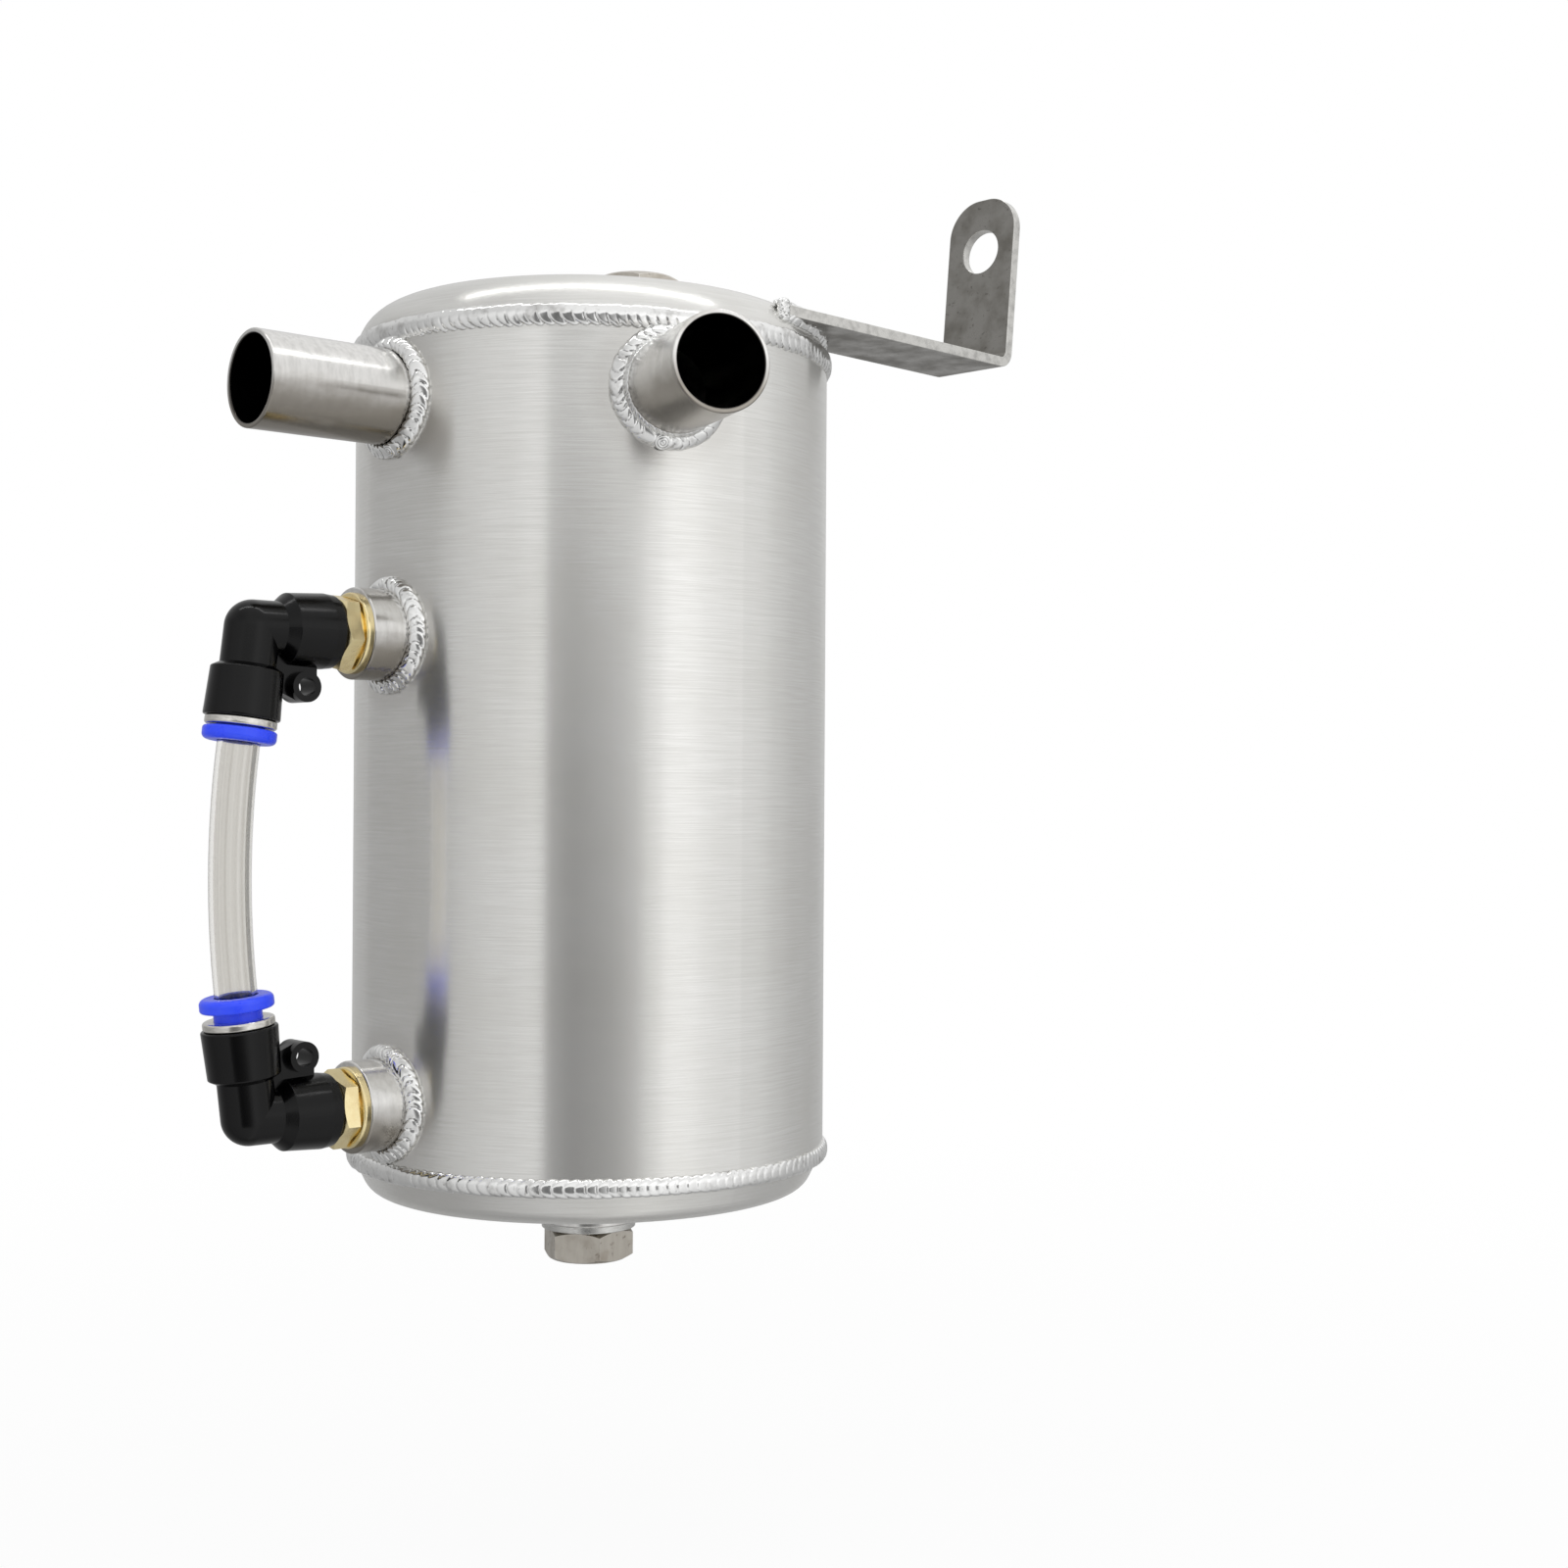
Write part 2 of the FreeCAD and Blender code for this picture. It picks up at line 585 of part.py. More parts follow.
def under_base(shape):
    shape.rotate(V(0, 0, 0), V(1, 0, 0), 180)
    return shape


def tab_point(height, out):
    # A point of the tab in the bracket's own plane: height along the tab from
    # the strap's top face, out from the tab's inner face.
    y = STRAP_REACH + height * math.sin(TAB_LEAN) + out * math.cos(TAB_LEAN)
    z = STRAP_TOP + height * math.cos(TAB_LEAN) - out * math.sin(TAB_LEAN)
    return V(0, y, z)


def bracket_turn(shape):
    shape.rotate(V(0, 0, 0), V(0, 0, 1), BRACKET_TURN_DEG)
    return shape


def bracket():
    # A folded strap with a leaning tab, its root cut to the can's shoulder.
    thick = STRAP_THICKNESS
    drop = -thick * (1 - math.sin(TAB_LEAN)) / math.cos(TAB_LEAN)
    corners = [(V(0, STRAP_START, STRAP_TOP - thick), 0),
               (tab_point(drop, thick), BEND_RADIUS + thick),
               (tab_point(TAB_HEIGHT, thick), 0),
               (tab_point(TAB_HEIGHT, 0), 0),
               (tab_point(0, 0), BEND_RADIUS),
               (V(0, STRAP_START, STRAP_TOP), 0)]
    strip = Part.Face(outline(corners)).extrude(V(STRAP_WIDTH, 0, 0))
    tips = [e for e in strip.Edges
            if e.CenterOfMass.z > STRAP_TOP + TAB_HEIGHT * 0.9 and abs(e.Length - thick) < 0.01]
    strip = strip.makeFillet(TAB_CORNER, tips)
    strip.translate(V(STRAP_OFFSET - STRAP_WIDTH / 2, 0, 0))
    start = tab_point(HOLE_HEIGHT, -OVERRUN) + V(STRAP_OFFSET, 0, 0)
    through = tab_point(0, 1) - tab_point(0, 0)
    hole = Part.makeCylinder(HOLE_RADIUS, thick + 2 * OVERRUN, start, through)
    return bracket_turn(strip.cut(hole)).cut(can_outside())


def root_bead(low_side):
    # One bead along the shoulder, under or over the strap's root.
    height = STRAP_TOP - STRAP_THICKNESS if low_side else STRAP_TOP
    rise = height - UPPER_SEAM_HEIGHT
    radius = CAN_RADIUS - LID_KNUCKLE + math.sqrt(LID_KNUCKLE ** 2 - rise ** 2)
    near = math.degrees(math.atan2(STRAP_OFFSET + STRAP_WIDTH / 2, STRAP_START - ROOT_BEAD))
    far = math.degrees(math.asin((STRAP_OFFSET - STRAP_WIDTH / 2 - ROOT_BEAD_RUN_ON) / radius))
    bead = Part.makeTorus(radius, ROOT_BEAD, V(0, 0, height), V(0, 0, 1), 0, 360, near - far)
    bead.rotate(V(0, 0, 0), V(0, 0, 1), 90 - near)
    return bead


def bracket_weld(strap):
    beads = bracket_turn(root_bead(True).fuse(root_bead(False)))
    return beads.cut([can_outside(), strap]).removeSplitter()


def bolt_hole_place():
    place = Part.Vertex(tab_point(HOLE_HEIGHT, STRAP_THICKNESS) + V(STRAP_OFFSET, 0, 0))
    place.rotate(V(0, 0, 0), V(0, 0, 1), BRACKET_TURN_DEG)
    return place.Point


def shell_pieces():
    top_seam = seam_weld(UPPER_SEAM_HEIGHT, UPPER_SEAM_WIDTH)
    spigot_bead = (SPIGOT_RADIUS, SPIGOT_ROOT_RADIUS, SPIGOT_HEIGHT)
    return {
        "body_tube": body_tube(),
        "top_cap": top_cap(),
        "bottom_cap": bottom_cap(),
        "top_seam_weld": top_seam,
        "bottom_seam_weld": seam_weld(LOWER_SEAM_HEIGHT, LOWER_SEAM_WIDTH),
        "inlet_spigot": spigot(INLET_REACH, 0),
        "inlet_weld": saddle_weld(*spigot_bead, 0).cut(top_seam),
        "outlet_spigot": spigot(OUTLET_REACH, OUTLET_TURN_DEG),
        "outlet_weld": saddle_weld(*spigot_bead, OUTLET_TURN_DEG).cut(top_seam),
    }


def sight_fitting(side, bung_height, stud_turn_deg, collar_gap):
    return {
        side + "_bung": bung(side),
        side + "_bung_weld": saddle_weld(BUNG_RADIUS, BUNG_RADIUS, bung_height, 0),
        side + "_stud": stud(side, stud_turn_deg),
        side + "_stud_ring": stud_ring(side),
        side + "_elbow": elbow(side),
        side + "_tube_seal": tube_seal(side),
        side + "_grip_claw": grip_claw(side),
        side + "_cap_ring": cap_ring(side),
        side + "_release_collar": release_collar(side, collar_gap),
    }


def plug_pieces():
    return {
        "drain_bung": under_base(plug_bung(DRAIN_BUNG_PROUD)),
        "drain_bung_weld": under_base(plug_weld()),
        "drain_washer": under_base(plug_washer(DRAIN_BUNG_PROUD)),
        "drain_plug": under_base(plug(DRAIN_BUNG_PROUD, DRAIN_PLUG_TURN_DEG)),
        "top_bung": on_lid(plug_bung(TOP_BUNG_PROUD)),
        "top_bung_weld": on_lid(plug_weld()),
        "top_washer": on_lid(plug_washer(TOP_BUNG_PROUD)),
        "top_plug": on_lid(plug(TOP_BUNG_PROUD, TOP_PLUG_TURN_DEG)),
    }


def bracket_pieces():
    strap = bracket()
    return {"bracket": strap, "bracket_weld": bracket_weld(strap)}


def export(nodes):
    os.makedirs("parts", exist_ok=True)
    away = bolt_hole_place() * -1
    for name, shape in nodes.items():
        shape.translate(away)
        shape.exportStep("parts/" + name + ".step")


NODES = {}
NODES.update(shell_pieces())
NODES.update(sight_fitting("upper", UPPER_BUNG_HEIGHT, UPPER_STUD_TURN_DEG, COLLAR_PRESSED))
NODES.update(sight_fitting("lower", LOWER_BUNG_HEIGHT, LOWER_STUD_TURN_DEG, COLLAR_OUT))
NODES["sight_tube"] = sight_tube()
NODES.update(plug_pieces())
NODES.update(bracket_pieces())
export(NODES)
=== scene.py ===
import math

import bmesh
import bpy
from mathutils import Matrix, Vector, noise


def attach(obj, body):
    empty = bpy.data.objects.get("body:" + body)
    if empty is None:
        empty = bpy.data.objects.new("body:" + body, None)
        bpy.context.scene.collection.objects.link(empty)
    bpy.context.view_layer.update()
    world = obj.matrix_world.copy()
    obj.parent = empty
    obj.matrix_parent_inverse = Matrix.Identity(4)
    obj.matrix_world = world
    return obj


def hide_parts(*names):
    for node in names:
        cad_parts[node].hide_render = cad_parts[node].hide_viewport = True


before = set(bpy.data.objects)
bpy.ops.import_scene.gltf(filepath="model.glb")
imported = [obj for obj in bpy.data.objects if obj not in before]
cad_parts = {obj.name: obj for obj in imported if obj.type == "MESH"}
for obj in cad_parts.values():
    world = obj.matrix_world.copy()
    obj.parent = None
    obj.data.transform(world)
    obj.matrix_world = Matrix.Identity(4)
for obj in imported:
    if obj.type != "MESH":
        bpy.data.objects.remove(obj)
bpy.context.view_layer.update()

scene = bpy.context.scene

# The new pieces are drawn in millimetres about the can's axis, base at height 0
MM = 0.001
CAN_AXIS = (-0.0320877, -0.0881170, -0.2084690)
CAN_FRAME = Matrix.Translation(CAN_AXIS) @ Matrix.Scale(MM, 4)
CAN_RADIUS = 50.0
CAN_HEIGHT = 185.0
LID_KNUCKLE = 9.7
UPPER_SEAM = 175.3
LOWER_SEAM = 8.25
SPIGOT_RADIUS = 9.5
SPIGOT_HEIGHT = 162.1
OUTLET_TURN = math.radians(71.0)
BUNG_RADIUS = 9.1
UPPER_BUNG_HEIGHT = 114.8
LOWER_BUNG_HEIGHT = 21.7
PLUG_BUNG_RADIUS = 11.0
STRAP_TURN = math.radians(4.7)
TAB_HOLE_HEIGHT = 208.5
TOP_PLUG_OFFSET = 11.7
# The centre of the arc in which the sight tube bows
BOW_CENTRE = (0.0, 106.3, 68.25)
# The strap's directions: away from the can's axis, and along the strap's root
STRAP_OUT = Matrix.Rotation(STRAP_TURN, 3, "Z") @ Vector((1, 0, 0))
STRAP_ALONG = Matrix.Rotation(STRAP_TURN, 3, "Z") @ Vector((0, 1, 0))


# Camera and light

# In metres and degrees, and the lens in millimetres
CAMERA_LENS = 48.99
CAMERA_PLACE = (0.338584, -0.359792, -0.124562)
CAMERA_TURN = (90.2454, -0.3377, 48.601)
VIEW_AZIMUTH = -41.0
FLOOR_DROP = 0.075
FLOOR_SIZE = 4.0


def camera():
    # Looks at the can as the photograph does.
    view = bpy.data.cameras.new("camera")
    view.sensor_width = 36.0
    view.lens = CAMERA_LENS
    view.clip_start = 0.01
    holder = bpy.data.objects.new("camera", view)
    holder.location = CAMERA_PLACE
    holder.rotation_euler = [math.radians(turn) for turn in CAMERA_TURN]
    scene.collection.objects.link(holder)
    scene.camera = holder


def strip_light(name, azimuth, forward, height, length, width, power):
    # A softbox over the can, set across the direction of the azimuth.
    lamp = bpy.data.lights.new(name, "AREA")
    lamp.shape = "RECTANGLE"
    lamp.size = width
    lamp.size_y = length
    lamp.energy = power
    holder = bpy.data.objects.new(name, lamp)
    turn = math.radians(azimuth)
    holder.location = (CAN_AXIS[0] + forward * math.cos(turn),
                       CAN_AXIS[1] + forward * math.sin(turn),
                       CAN_AXIS[2] + CAN_HEIGHT * MM + height)
    holder.rotation_euler = (0, 0, turn)
    scene.collection.objects.link(holder)


# Brightness of the studio round the can, by azimuth in degrees
STUDIO_BANDS = (
    (-180, 0.48), (-163, 0.41), (-132, 0.42), (-118, 0.45), (-108, 0.56), (-98, 0.64), (-80, 0.73),
    (-60, 0.84), (-20, 0.94), (-6, 1.04), (2, 1.12), (11, 1.10), (22, 0.96), (34, 0.88),
    (52, 0.76), (64, 0.63), (80, 0.52), (98, 0.48), (135, 0.56), (180, 0.48))
# A dark board behind the camera: its shade by azimuth, and the elevation of its slanting top
BOARD_SHADE = ((-180, 1.0), (-59, 1.0), (-56, 0.34), (-44, 0.20), (-34, 0.25), (-26, 0.32),
               (-17, 0.47), (-8, 0.78), (1, 1.0), (180, 1.0))
BOARD_TOP = 9.2
BOARD_TOP_AZIMUTH = -55.0
BOARD_TOP_SLOPE = -0.06
BOARD_TOP_BLUR = 0.8
BOARD_FOOT = -24.0
BOARD_FOOT_BLUR = 14.0
# Brightness by elevation in degrees, and where the bands give way to the plain ceiling
STUDIO_RISE = ((-90, 0.62), (-40, 0.80), (-10, 0.90), (10, 1.10), (30, 1.06), (90, 1.0))
CEILING_FROM = 14.0
CEILING_WHOLE = 34.0
# The ceiling brightens from one side to the other, by the sum of a direction's X and Y
CEILING_SIDES = (-0.7, 0.05)
CEILING_SHADES = (0.64, 0.90)
# Dull surfaces get more, which brings a colour nearer to how it is written
DIFFUSE_LEVEL = 1.3


class Graph:
    # Adds linked nodes to a node tree.
    def __init__(self, tree):
        self.tree = tree

    def node(self, kind, links=(), values=(), **settings):
        # Sources and values by input, and the node's own settings by name.
        made = self.tree.nodes.new(kind)
        for setting, value in settings.items():
            setattr(made, setting, value)
        for socket, value in dict(values).items():
            made.inputs[socket].default_value = value
        for socket, source in dict(links).items():
            self.tree.links.new(source, made.inputs[socket])
        return made

    def calc(self, operation, first, second):
        # One number worked out from two, each a source or a plain number.
        made = self.tree.nodes.new("ShaderNodeMath")
        made.operation = operation
        for socket, source in zip(made.inputs, (first, second)):
            if isinstance(source, (int, float)):
                socket.default_value = source
            else:
                self.tree.links.new(source, socket)
        return made.outputs[0]

    def times(self, first, second):
        # One colour darkened by another.
        return self.node("ShaderNodeMix", {"A": first, "B": second}, {"Factor": 1.0},
                         data_type="RGBA", blend_type="MULTIPLY").outputs["Result"]

    def spread(self, source, low, high, to_low=0.0, to_high=1.0, soft=False):
        # Takes low to to_low and high to to_high, and holds the value past them.
        return self.node("ShaderNodeMapRange", {"Value": source},
                         {"From Min": low, "From Max": high, "To Min": to_low, "To Max": to_high},
                         interpolation_type="SMOOTHSTEP" if soft else "LINEAR").outputs["Result"]

    def ramp(self, source, stops, low, high):
        # Grey levels at places between low and high.
        made = self.node("ShaderNodeValToRGB", {"Fac": self.spread(source, low, high)})
        ramp = made.color_ramp
        ramp.interpolation = "EASE"
        while len(ramp.elements) < len(stops):
            ramp.elements.new(0.5)
        for stop, (place, level) in zip(ramp.elements, stops):
            stop.position = (place - low) / (high - low)
            stop.color = (level, level, level, 1)
        return made.outputs["Color"]


def studio():
    # Plain white to the camera, and graded walls and ceiling in what the metal reflects.
    world = bpy.data.worlds.new("studio")
    world.use_nodes = True
    scene.world = world
    graph = Graph(world.node_tree)
    split = graph.node("ShaderNodeSeparateXYZ",
                       {0: graph.node("ShaderNodeTexCoord").outputs["Generated"]})
    azimuth = graph.calc("MULTIPLY",
                         graph.calc("ARCTAN2", split.outputs["Y"], split.outputs["X"]),
                         math.degrees(1))
    elevation = graph.calc("MULTIPLY", graph.calc("ARCSINE", split.outputs["Z"], 0),
                           math.degrees(1))
    bands = graph.ramp(azimuth, STUDIO_BANDS, -180, 180)
    board = graph.ramp(azimuth, BOARD_SHADE, -180, 180)
    rise = graph.ramp(elevation, STUDIO_RISE, -90, 90)
    board_top = graph.calc("ADD", graph.calc("MULTIPLY", azimuth, BOARD_TOP_SLOPE),
                           BOARD_TOP - BOARD_TOP_AZIMUTH * BOARD_TOP_SLOPE)
    over = graph.spread(graph.calc("SUBTRACT", elevation, board_top),
                        -BOARD_TOP_BLUR, BOARD_TOP_BLUR, soft=True)
    under = graph.spread(elevation, BOARD_FOOT, BOARD_FOOT - BOARD_FOOT_BLUR, soft=True)
    shade = graph.node("ShaderNodeMix", {"Factor": graph.calc("MAXIMUM", over, under), "A": board},
                       {"B": (1, 1, 1, 1)}, data_type="RGBA").outputs["Result"]
    walls = graph.times(graph.times(bands, rise), shade)
    ceiling = graph.spread(graph.calc("ADD", split.outputs["X"], split.outputs["Y"]),
                           *CEILING_SIDES, *CEILING_SHADES)
    overhead = graph.spread(elevation, CEILING_FROM, CEILING_WHOLE, soft=True)
    lit = graph.node("ShaderNodeMix", {"Factor": overhead, "A": walls, "B": ceiling},
                     data_type="RGBA").outputs["Result"]
    rays = graph.node("ShaderNodeLightPath")
    plain = graph.calc("MAXIMUM", rays.outputs["Is Camera Ray"],
                       rays.outputs["Is Transmission Ray"])
    choose = graph.node("ShaderNodeMix", {"Factor": plain, "A": lit}, {"B": (1, 1, 1, 1)},
                        data_type="RGBA")
    level = graph.spread(rays.outputs["Is Diffuse Ray"], 0, 1, 1.0, DIFFUSE_LEVEL)
    back = world.node_tree.nodes["Background"]
    world.node_tree.links.new(choose.outputs["Result"], back.inputs["Color"])
    world.node_tree.links.new(level, back.inputs["Strength"])


def pale_floor():
    # Nearly white to the camera, so that it meets the background unseen, and clear from below.
    mesh = bpy.data.meshes.new("floor")
    bm = bmesh.new()
    bmesh.ops.create_grid(bm, x_segments=4, y_segments=4, size=FLOOR_SIZE)
    bmesh.ops.translate(bm, verts=bm.verts, vec=(0, 0, CAN_AXIS[2] - FLOOR_DROP))
    bm.to_mesh(mesh)
    bm.free()
    floor = bpy.data.objects.new("floor", mesh)
    scene.collection.objects.link(floor)
    paint = bpy.data.materials.new("floor_white")
    paint.use_nodes = True
    graph = Graph(paint.node_tree)
    matt = paint.node_tree.nodes["Principled BSDF"]
    matt.inputs["Base Color"].default_value = (0.70, 0.70, 0.70, 1)
    matt.inputs["Roughness"].default_value = 0.9
    glow = graph.node("ShaderNodeEmission", values={"Strength": 1.0})
    centre = (CAN_AXIS[0], CAN_AXIS[1], CAN_AXIS[2] - FLOOR_DROP)
    away = graph.node("ShaderNodeVectorMath",
                      {0: graph.node("ShaderNodeTexCoord").outputs["Object"]},
                      {1: centre}, operation="DISTANCE").outputs["Value"]
    rays = graph.node("ShaderNodeLightPath")
    seen = graph.calc("MAXIMUM", rays.outputs["Is Camera Ray"],
                      rays.outputs["Is Transmission Ray"])
    # A little of the can's shadow shows under it, and none further off.
    share = graph.calc("MULTIPLY", seen, graph.spread(away, 0.08, 0.6, 0.92, 1.0, soft=True))
    above = graph.node("ShaderNodeMixShader", {0: share, 1: matt.outputs[0], 2: glow.outputs[0]})
    below = graph.node("ShaderNodeNewGeometry").outputs["Backfacing"]
    clear = graph.node("ShaderNodeBsdfTransparent")
    both = graph.node("ShaderNodeMixShader", {0: below, 1: above.outputs[0], 2: clear.outputs[0]})
    output = paint.node_tree.nodes["Material Output"]
    paint.node_tree.links.new(both.outputs[0], output.inputs["Surface"])
    mesh.materials.append(paint)
    floor.visible_glossy = False


# Finishes

class Finish(Graph):
    # A material, built up on its main shader by the calls below.
    def __init__(self, name, colour, metallic, roughness, sockets=()):
        self.material = bpy.data.materials.new(name)
        self.material.use_nodes = True
        super().__init__(self.material.node_tree)
        self.shader = self.tree.nodes["Principled BSDF"]
        self.colour = (*colour, 1)
        self.shader.inputs["Base Color"].default_value = self.colour
        self.shader.inputs["Metallic"].default_value = metallic
        self.shader.inputs["Roughness"].default_value = roughness
        for socket, value in dict(sockets).items():
            self.shader.inputs[socket].default_value = value
        self.bump = None

    def place(self, scale=(1, 1, 1), centre=CAN_AXIS):
        # Object coordinates about a centre, stretched by the scale.
        start = self.node("ShaderNodeTexCoord").outputs["Object"]
        shift = [-c * s for c, s in zip(centre, scale)]
        return self.node("ShaderNodeMapping", {"Vector": start},
                         {"Location": shift, "Scale": scale}).outputs["Vector"]

    def rings(self, fine, coarse, centre=CAN_AXIS):
        # Fine lines that run round a vertical axis.
        at = self.place(centre=centre)
        split = self.node("ShaderNodeSeparateXYZ", {0: at})
        flat = self.node("ShaderNodeVectorMath", {0: at}, {1: (1, 1, 0)}, operation="MULTIPLY")
        reach = self.node("ShaderNodeVectorMath", {0: flat.outputs[0]}, operation="LENGTH")
        along = self.node("ShaderNodeCombineXYZ",
                          {0: self.calc("MULTIPLY", reach.outputs["Value"], fine),
                           1: self.calc("MULTIPLY", split.outputs["Z"], fine),
                           2: self.calc("MULTIPLY", split.outputs["X"], coarse)})
        lines = self.node("ShaderNodeTexNoise",
                          {"Vector": along.outputs[0],
                           "W": self.calc("MULTIPLY", split.outputs["Y"], coarse)},
                          {"Scale": 1.0, "Detail": 3.0, "Roughness": 0.6}, noise_dimensions="4D")
        return lines.outputs[0]

    def grain(self, scale, detail=3.0, stretch=(1, 1, 1), roughness=0.55):
        # Noise through the whole piece, drawn out where the stretch is low.
        at = self.place(stretch, (0, 0, 0))
        return self.node("ShaderNodeTexNoise", {"Vector": at},
                         {"Scale": scale, "Detail": detail, "Roughness": roughness}).outputs[0]

    def tint(self, factor, colour):
        # Lays another colour over what is there, where the factor is high.
        socket = self.shader.inputs["Base Color"]
        mix = self.node("ShaderNodeMix", {"Factor": factor}, {"A": self.colour, "B": (*colour, 1)},
                        data_type="RGBA")
        if socket.links:
            self.tree.links.new(socket.links[0].from_socket, mix.inputs["A"])
        self.tree.links.new(mix.outputs["Result"], socket)

    def rough(self, factor, low, high):
        # Roughness between two levels, by a noise.
        self.tree.links.new(self.spread(factor, 0.3, 0.7, low, high),
                            self.shader.inputs["Roughness"])

    def relief(self, source, height, strength=1.0):
        # Raises the surface by the source; height is in metres.
        bump = self.node("ShaderNodeBump", {"Height": source},
                         {"Strength": strength, "Distance": height})
        if self.bump:
            self.tree.links.new(self.bump.outputs[0], bump.inputs["Normal"])
        self.tree.links.new(bump.outputs[0], self.shader.inputs["Normal"])
        self.bump = bump


# Where the fittings enter the wall: turn about the can's axis, height and radius
WALL_FITTINGS = ((0.0, SPIGOT_HEIGHT, SPIGOT_RADIUS), (OUTLET_TURN, SPIGOT_HEIGHT, SPIGOT_RADIUS),
                 (0.0, UPPER_BUNG_HEIGHT, BUNG_RADIUS), (0.0, LOWER_BUNG_HEIGHT, BUNG_RADIUS))
# How far a fitting's weld reaches past it, and the darker ring past the weld
WELD_REACH = 3.6
DARK_RING_REACH = 4.5
# The radius in a spigot at which the painted shade in its bore begins, and at which it is whole
BORE_FROM = 8.8
BORE_WHOLE = 8.6


def darker_rings_round_fittings(finish):
    # Soft darker rings on the wall round each fitting.
    at = finish.place(centre=(0, 0, 0))
    rings = []
    for turn, height, radius in WALL_FITTINGS:
        spot = CAN_FRAME @ Vector((CAN_RADIUS * math.sin(turn), -CAN_RADIUS * math.cos(turn),
                                   height))
        far = finish.node("ShaderNodeVectorMath", {0: at}, {1: spot}, operation="DISTANCE")
        edge = (radius + WELD_REACH) * MM
        rings.append(finish.spread(far.outputs["Value"], edge + DARK_RING_REACH * MM, edge, soft=True))
    darker_patches = rings[0]
    for ring in rings[1:]:
        darker_patches = finish.calc("MAXIMUM", darker_patches, ring)
    return darker_patches


def brushed_can(name):
    finish = Finish(name, (0.85, 0.845, 0.825), 0.86, 0.2,
                    {"Anisotropic": 0.75, "Anisotropic Rotation": 0.25})
    tangent = finish.node("ShaderNodeTangent", direction_type="RADIAL", axis="Z")
    finish.tree.links.new(tangent.outputs[0], finish.shader.inputs["Tangent"])
    lines = finish.rings(5200, 90)
    cloud = finish.grain(34, 4)
    finish.tint(finish.spread(lines, 0.3, 0.75), (0.735, 0.728, 0.70))
    finish.tint(finish.spread(cloud, 0.42, 0.72, 0, 0.5), (0.71, 0.698, 0.66))
    finish.tint(finish.calc("MULTIPLY", darker_rings_round_fittings(finish), 0.35), (0.62, 0.60, 0.57))
    finish.rough(lines, 0.19, 0.26)
    finish.relief(lines, 0.00001, 0.4)
    return finish.material


def turned_metal(name):
    finish = Finish(name, (0.76, 0.755, 0.74), 1.0, 0.2)
    scratches = finish.grain(900, 3, (1, 1, 0.2))
    cloud = finish.grain(120, 4)
    finish.tint(finish.spread(scratches, 0.4, 0.7), (0.66, 0.65, 0.63))
    finish.tint(finish.spread(cloud, 0.5, 0.75, 0, 0.4), (0.58, 0.56, 0.53))
    finish.rough(cloud, 0.13, 0.25)
    finish.relief(scratches, 0.00002, 0.4)
    return finish.material


def shaded_turned_metal(name, height, shaded_bores=False):
    # Turned metal of a fitting at this height, with painted shade darkening its lower side.
    finish = Finish(name, (0.80, 0.79, 0.77), 1.0, 0.2)
    scratches = finish.grain(900, 3, (1, 1, 0.2))
    cloud = finish.grain(90, 4, (1, 1, 2))
    level = finish.node("ShaderNodeSeparateXYZ", {
        0: finish.place(centre=CAN_FRAME @ Vector((0, 0, height)))}).outputs["Z"]
    wavy = finish.calc("ADD", level, finish.spread(cloud, 0.3, 0.7, -1.5 * MM, 1.5 * MM))
    finish.tint(finish.spread(scratches, 0.4, 0.7), (0.70, 0.69, 0.67))
    # Painted shade: darker below the fitting's axis, with a wavy edge.
    finish.tint(finish.spread(wavy, 2.5 * MM, -5 * MM, 0, 0.88, soft=True), (0.26, 0.235, 0.20))
    finish.tint(finish.spread(cloud, 0.55, 0.75, 0, 0.4), (0.40, 0.37, 0.33))
    finish.rough(cloud, 0.15, 0.25)
    if shaded_bores:
        # Painted shade deep in the spigots' bores.
        finish.tint(spigot_bore_shade(finish), (0.06, 0.055, 0.05))
    finish.relief(scratches, 0.00002, 0.4)
    return finish.material


def spigot_bore_shade(finish):
    # The insides of the inlet and outlet spigots, where shade is painted.
    at = finish.place(centre=CAN_FRAME @ Vector((0, 0, SPIGOT_HEIGHT)))
    inside = []
    for turn in (0.0, OUTLET_TURN):
        along = (math.sin(turn), -math.cos(turn), 0)
        off = finish.node("ShaderNodeVectorMath", {0: at}, {1: along},
                          operation="CROSS_PRODUCT").outputs[0]
        reach = finish.node("ShaderNodeVectorMath", {0: off}, operation="LENGTH").outputs["Value"]
        inside.append(finish.spread(reach, BORE_FROM * MM, BORE_WHOLE * MM))
    return finish.calc("MAXIMUM", *inside)


def weld_metal(name):
    finish = Finish(name, (0.92, 0.92, 0.91), 1.0, 0.14)
    crest = finish.node("ShaderNodeAttribute", attribute_name="crest").outputs["Fac"]
    fleck = finish.grain(900, 4)
    smoke = finish.grain(260, 3)
    finish.tint(finish.spread(smoke, 0.54, 0.72, 0.0, 0.6), (0.42, 0.41, 0.395))
    # Painted shade in the creases between puddles, read from the crest attribute.
    finish.tint(finish.spread(crest, 0.55, 0.10, 0.0, 0.95), (0.12, 0.115, 0.11))
    finish.tint(finish.spread(fleck, 0.62, 0.72, 0.0, 0.5), (0.40, 0.39, 0.37))
    finish.rough(fleck, 0.08, 0.18)
    finish.relief(fleck, 0.00004, 0.3)
    return finish.material


def soft_washer(name):
    finish = Finish(name, (0.70, 0.70, 0.68), 1.0, 0.3)
    lines = finish.grain(700, 3, (1, 1, 4))
    finish.tint(finish.spread(lines, 0.4, 0.7), (0.6, 0.59, 0.57))
    finish.rough(lines, 0.22, 0.4)
    finish.relief(lines, 0.00002, 0.4)
    return finish.material


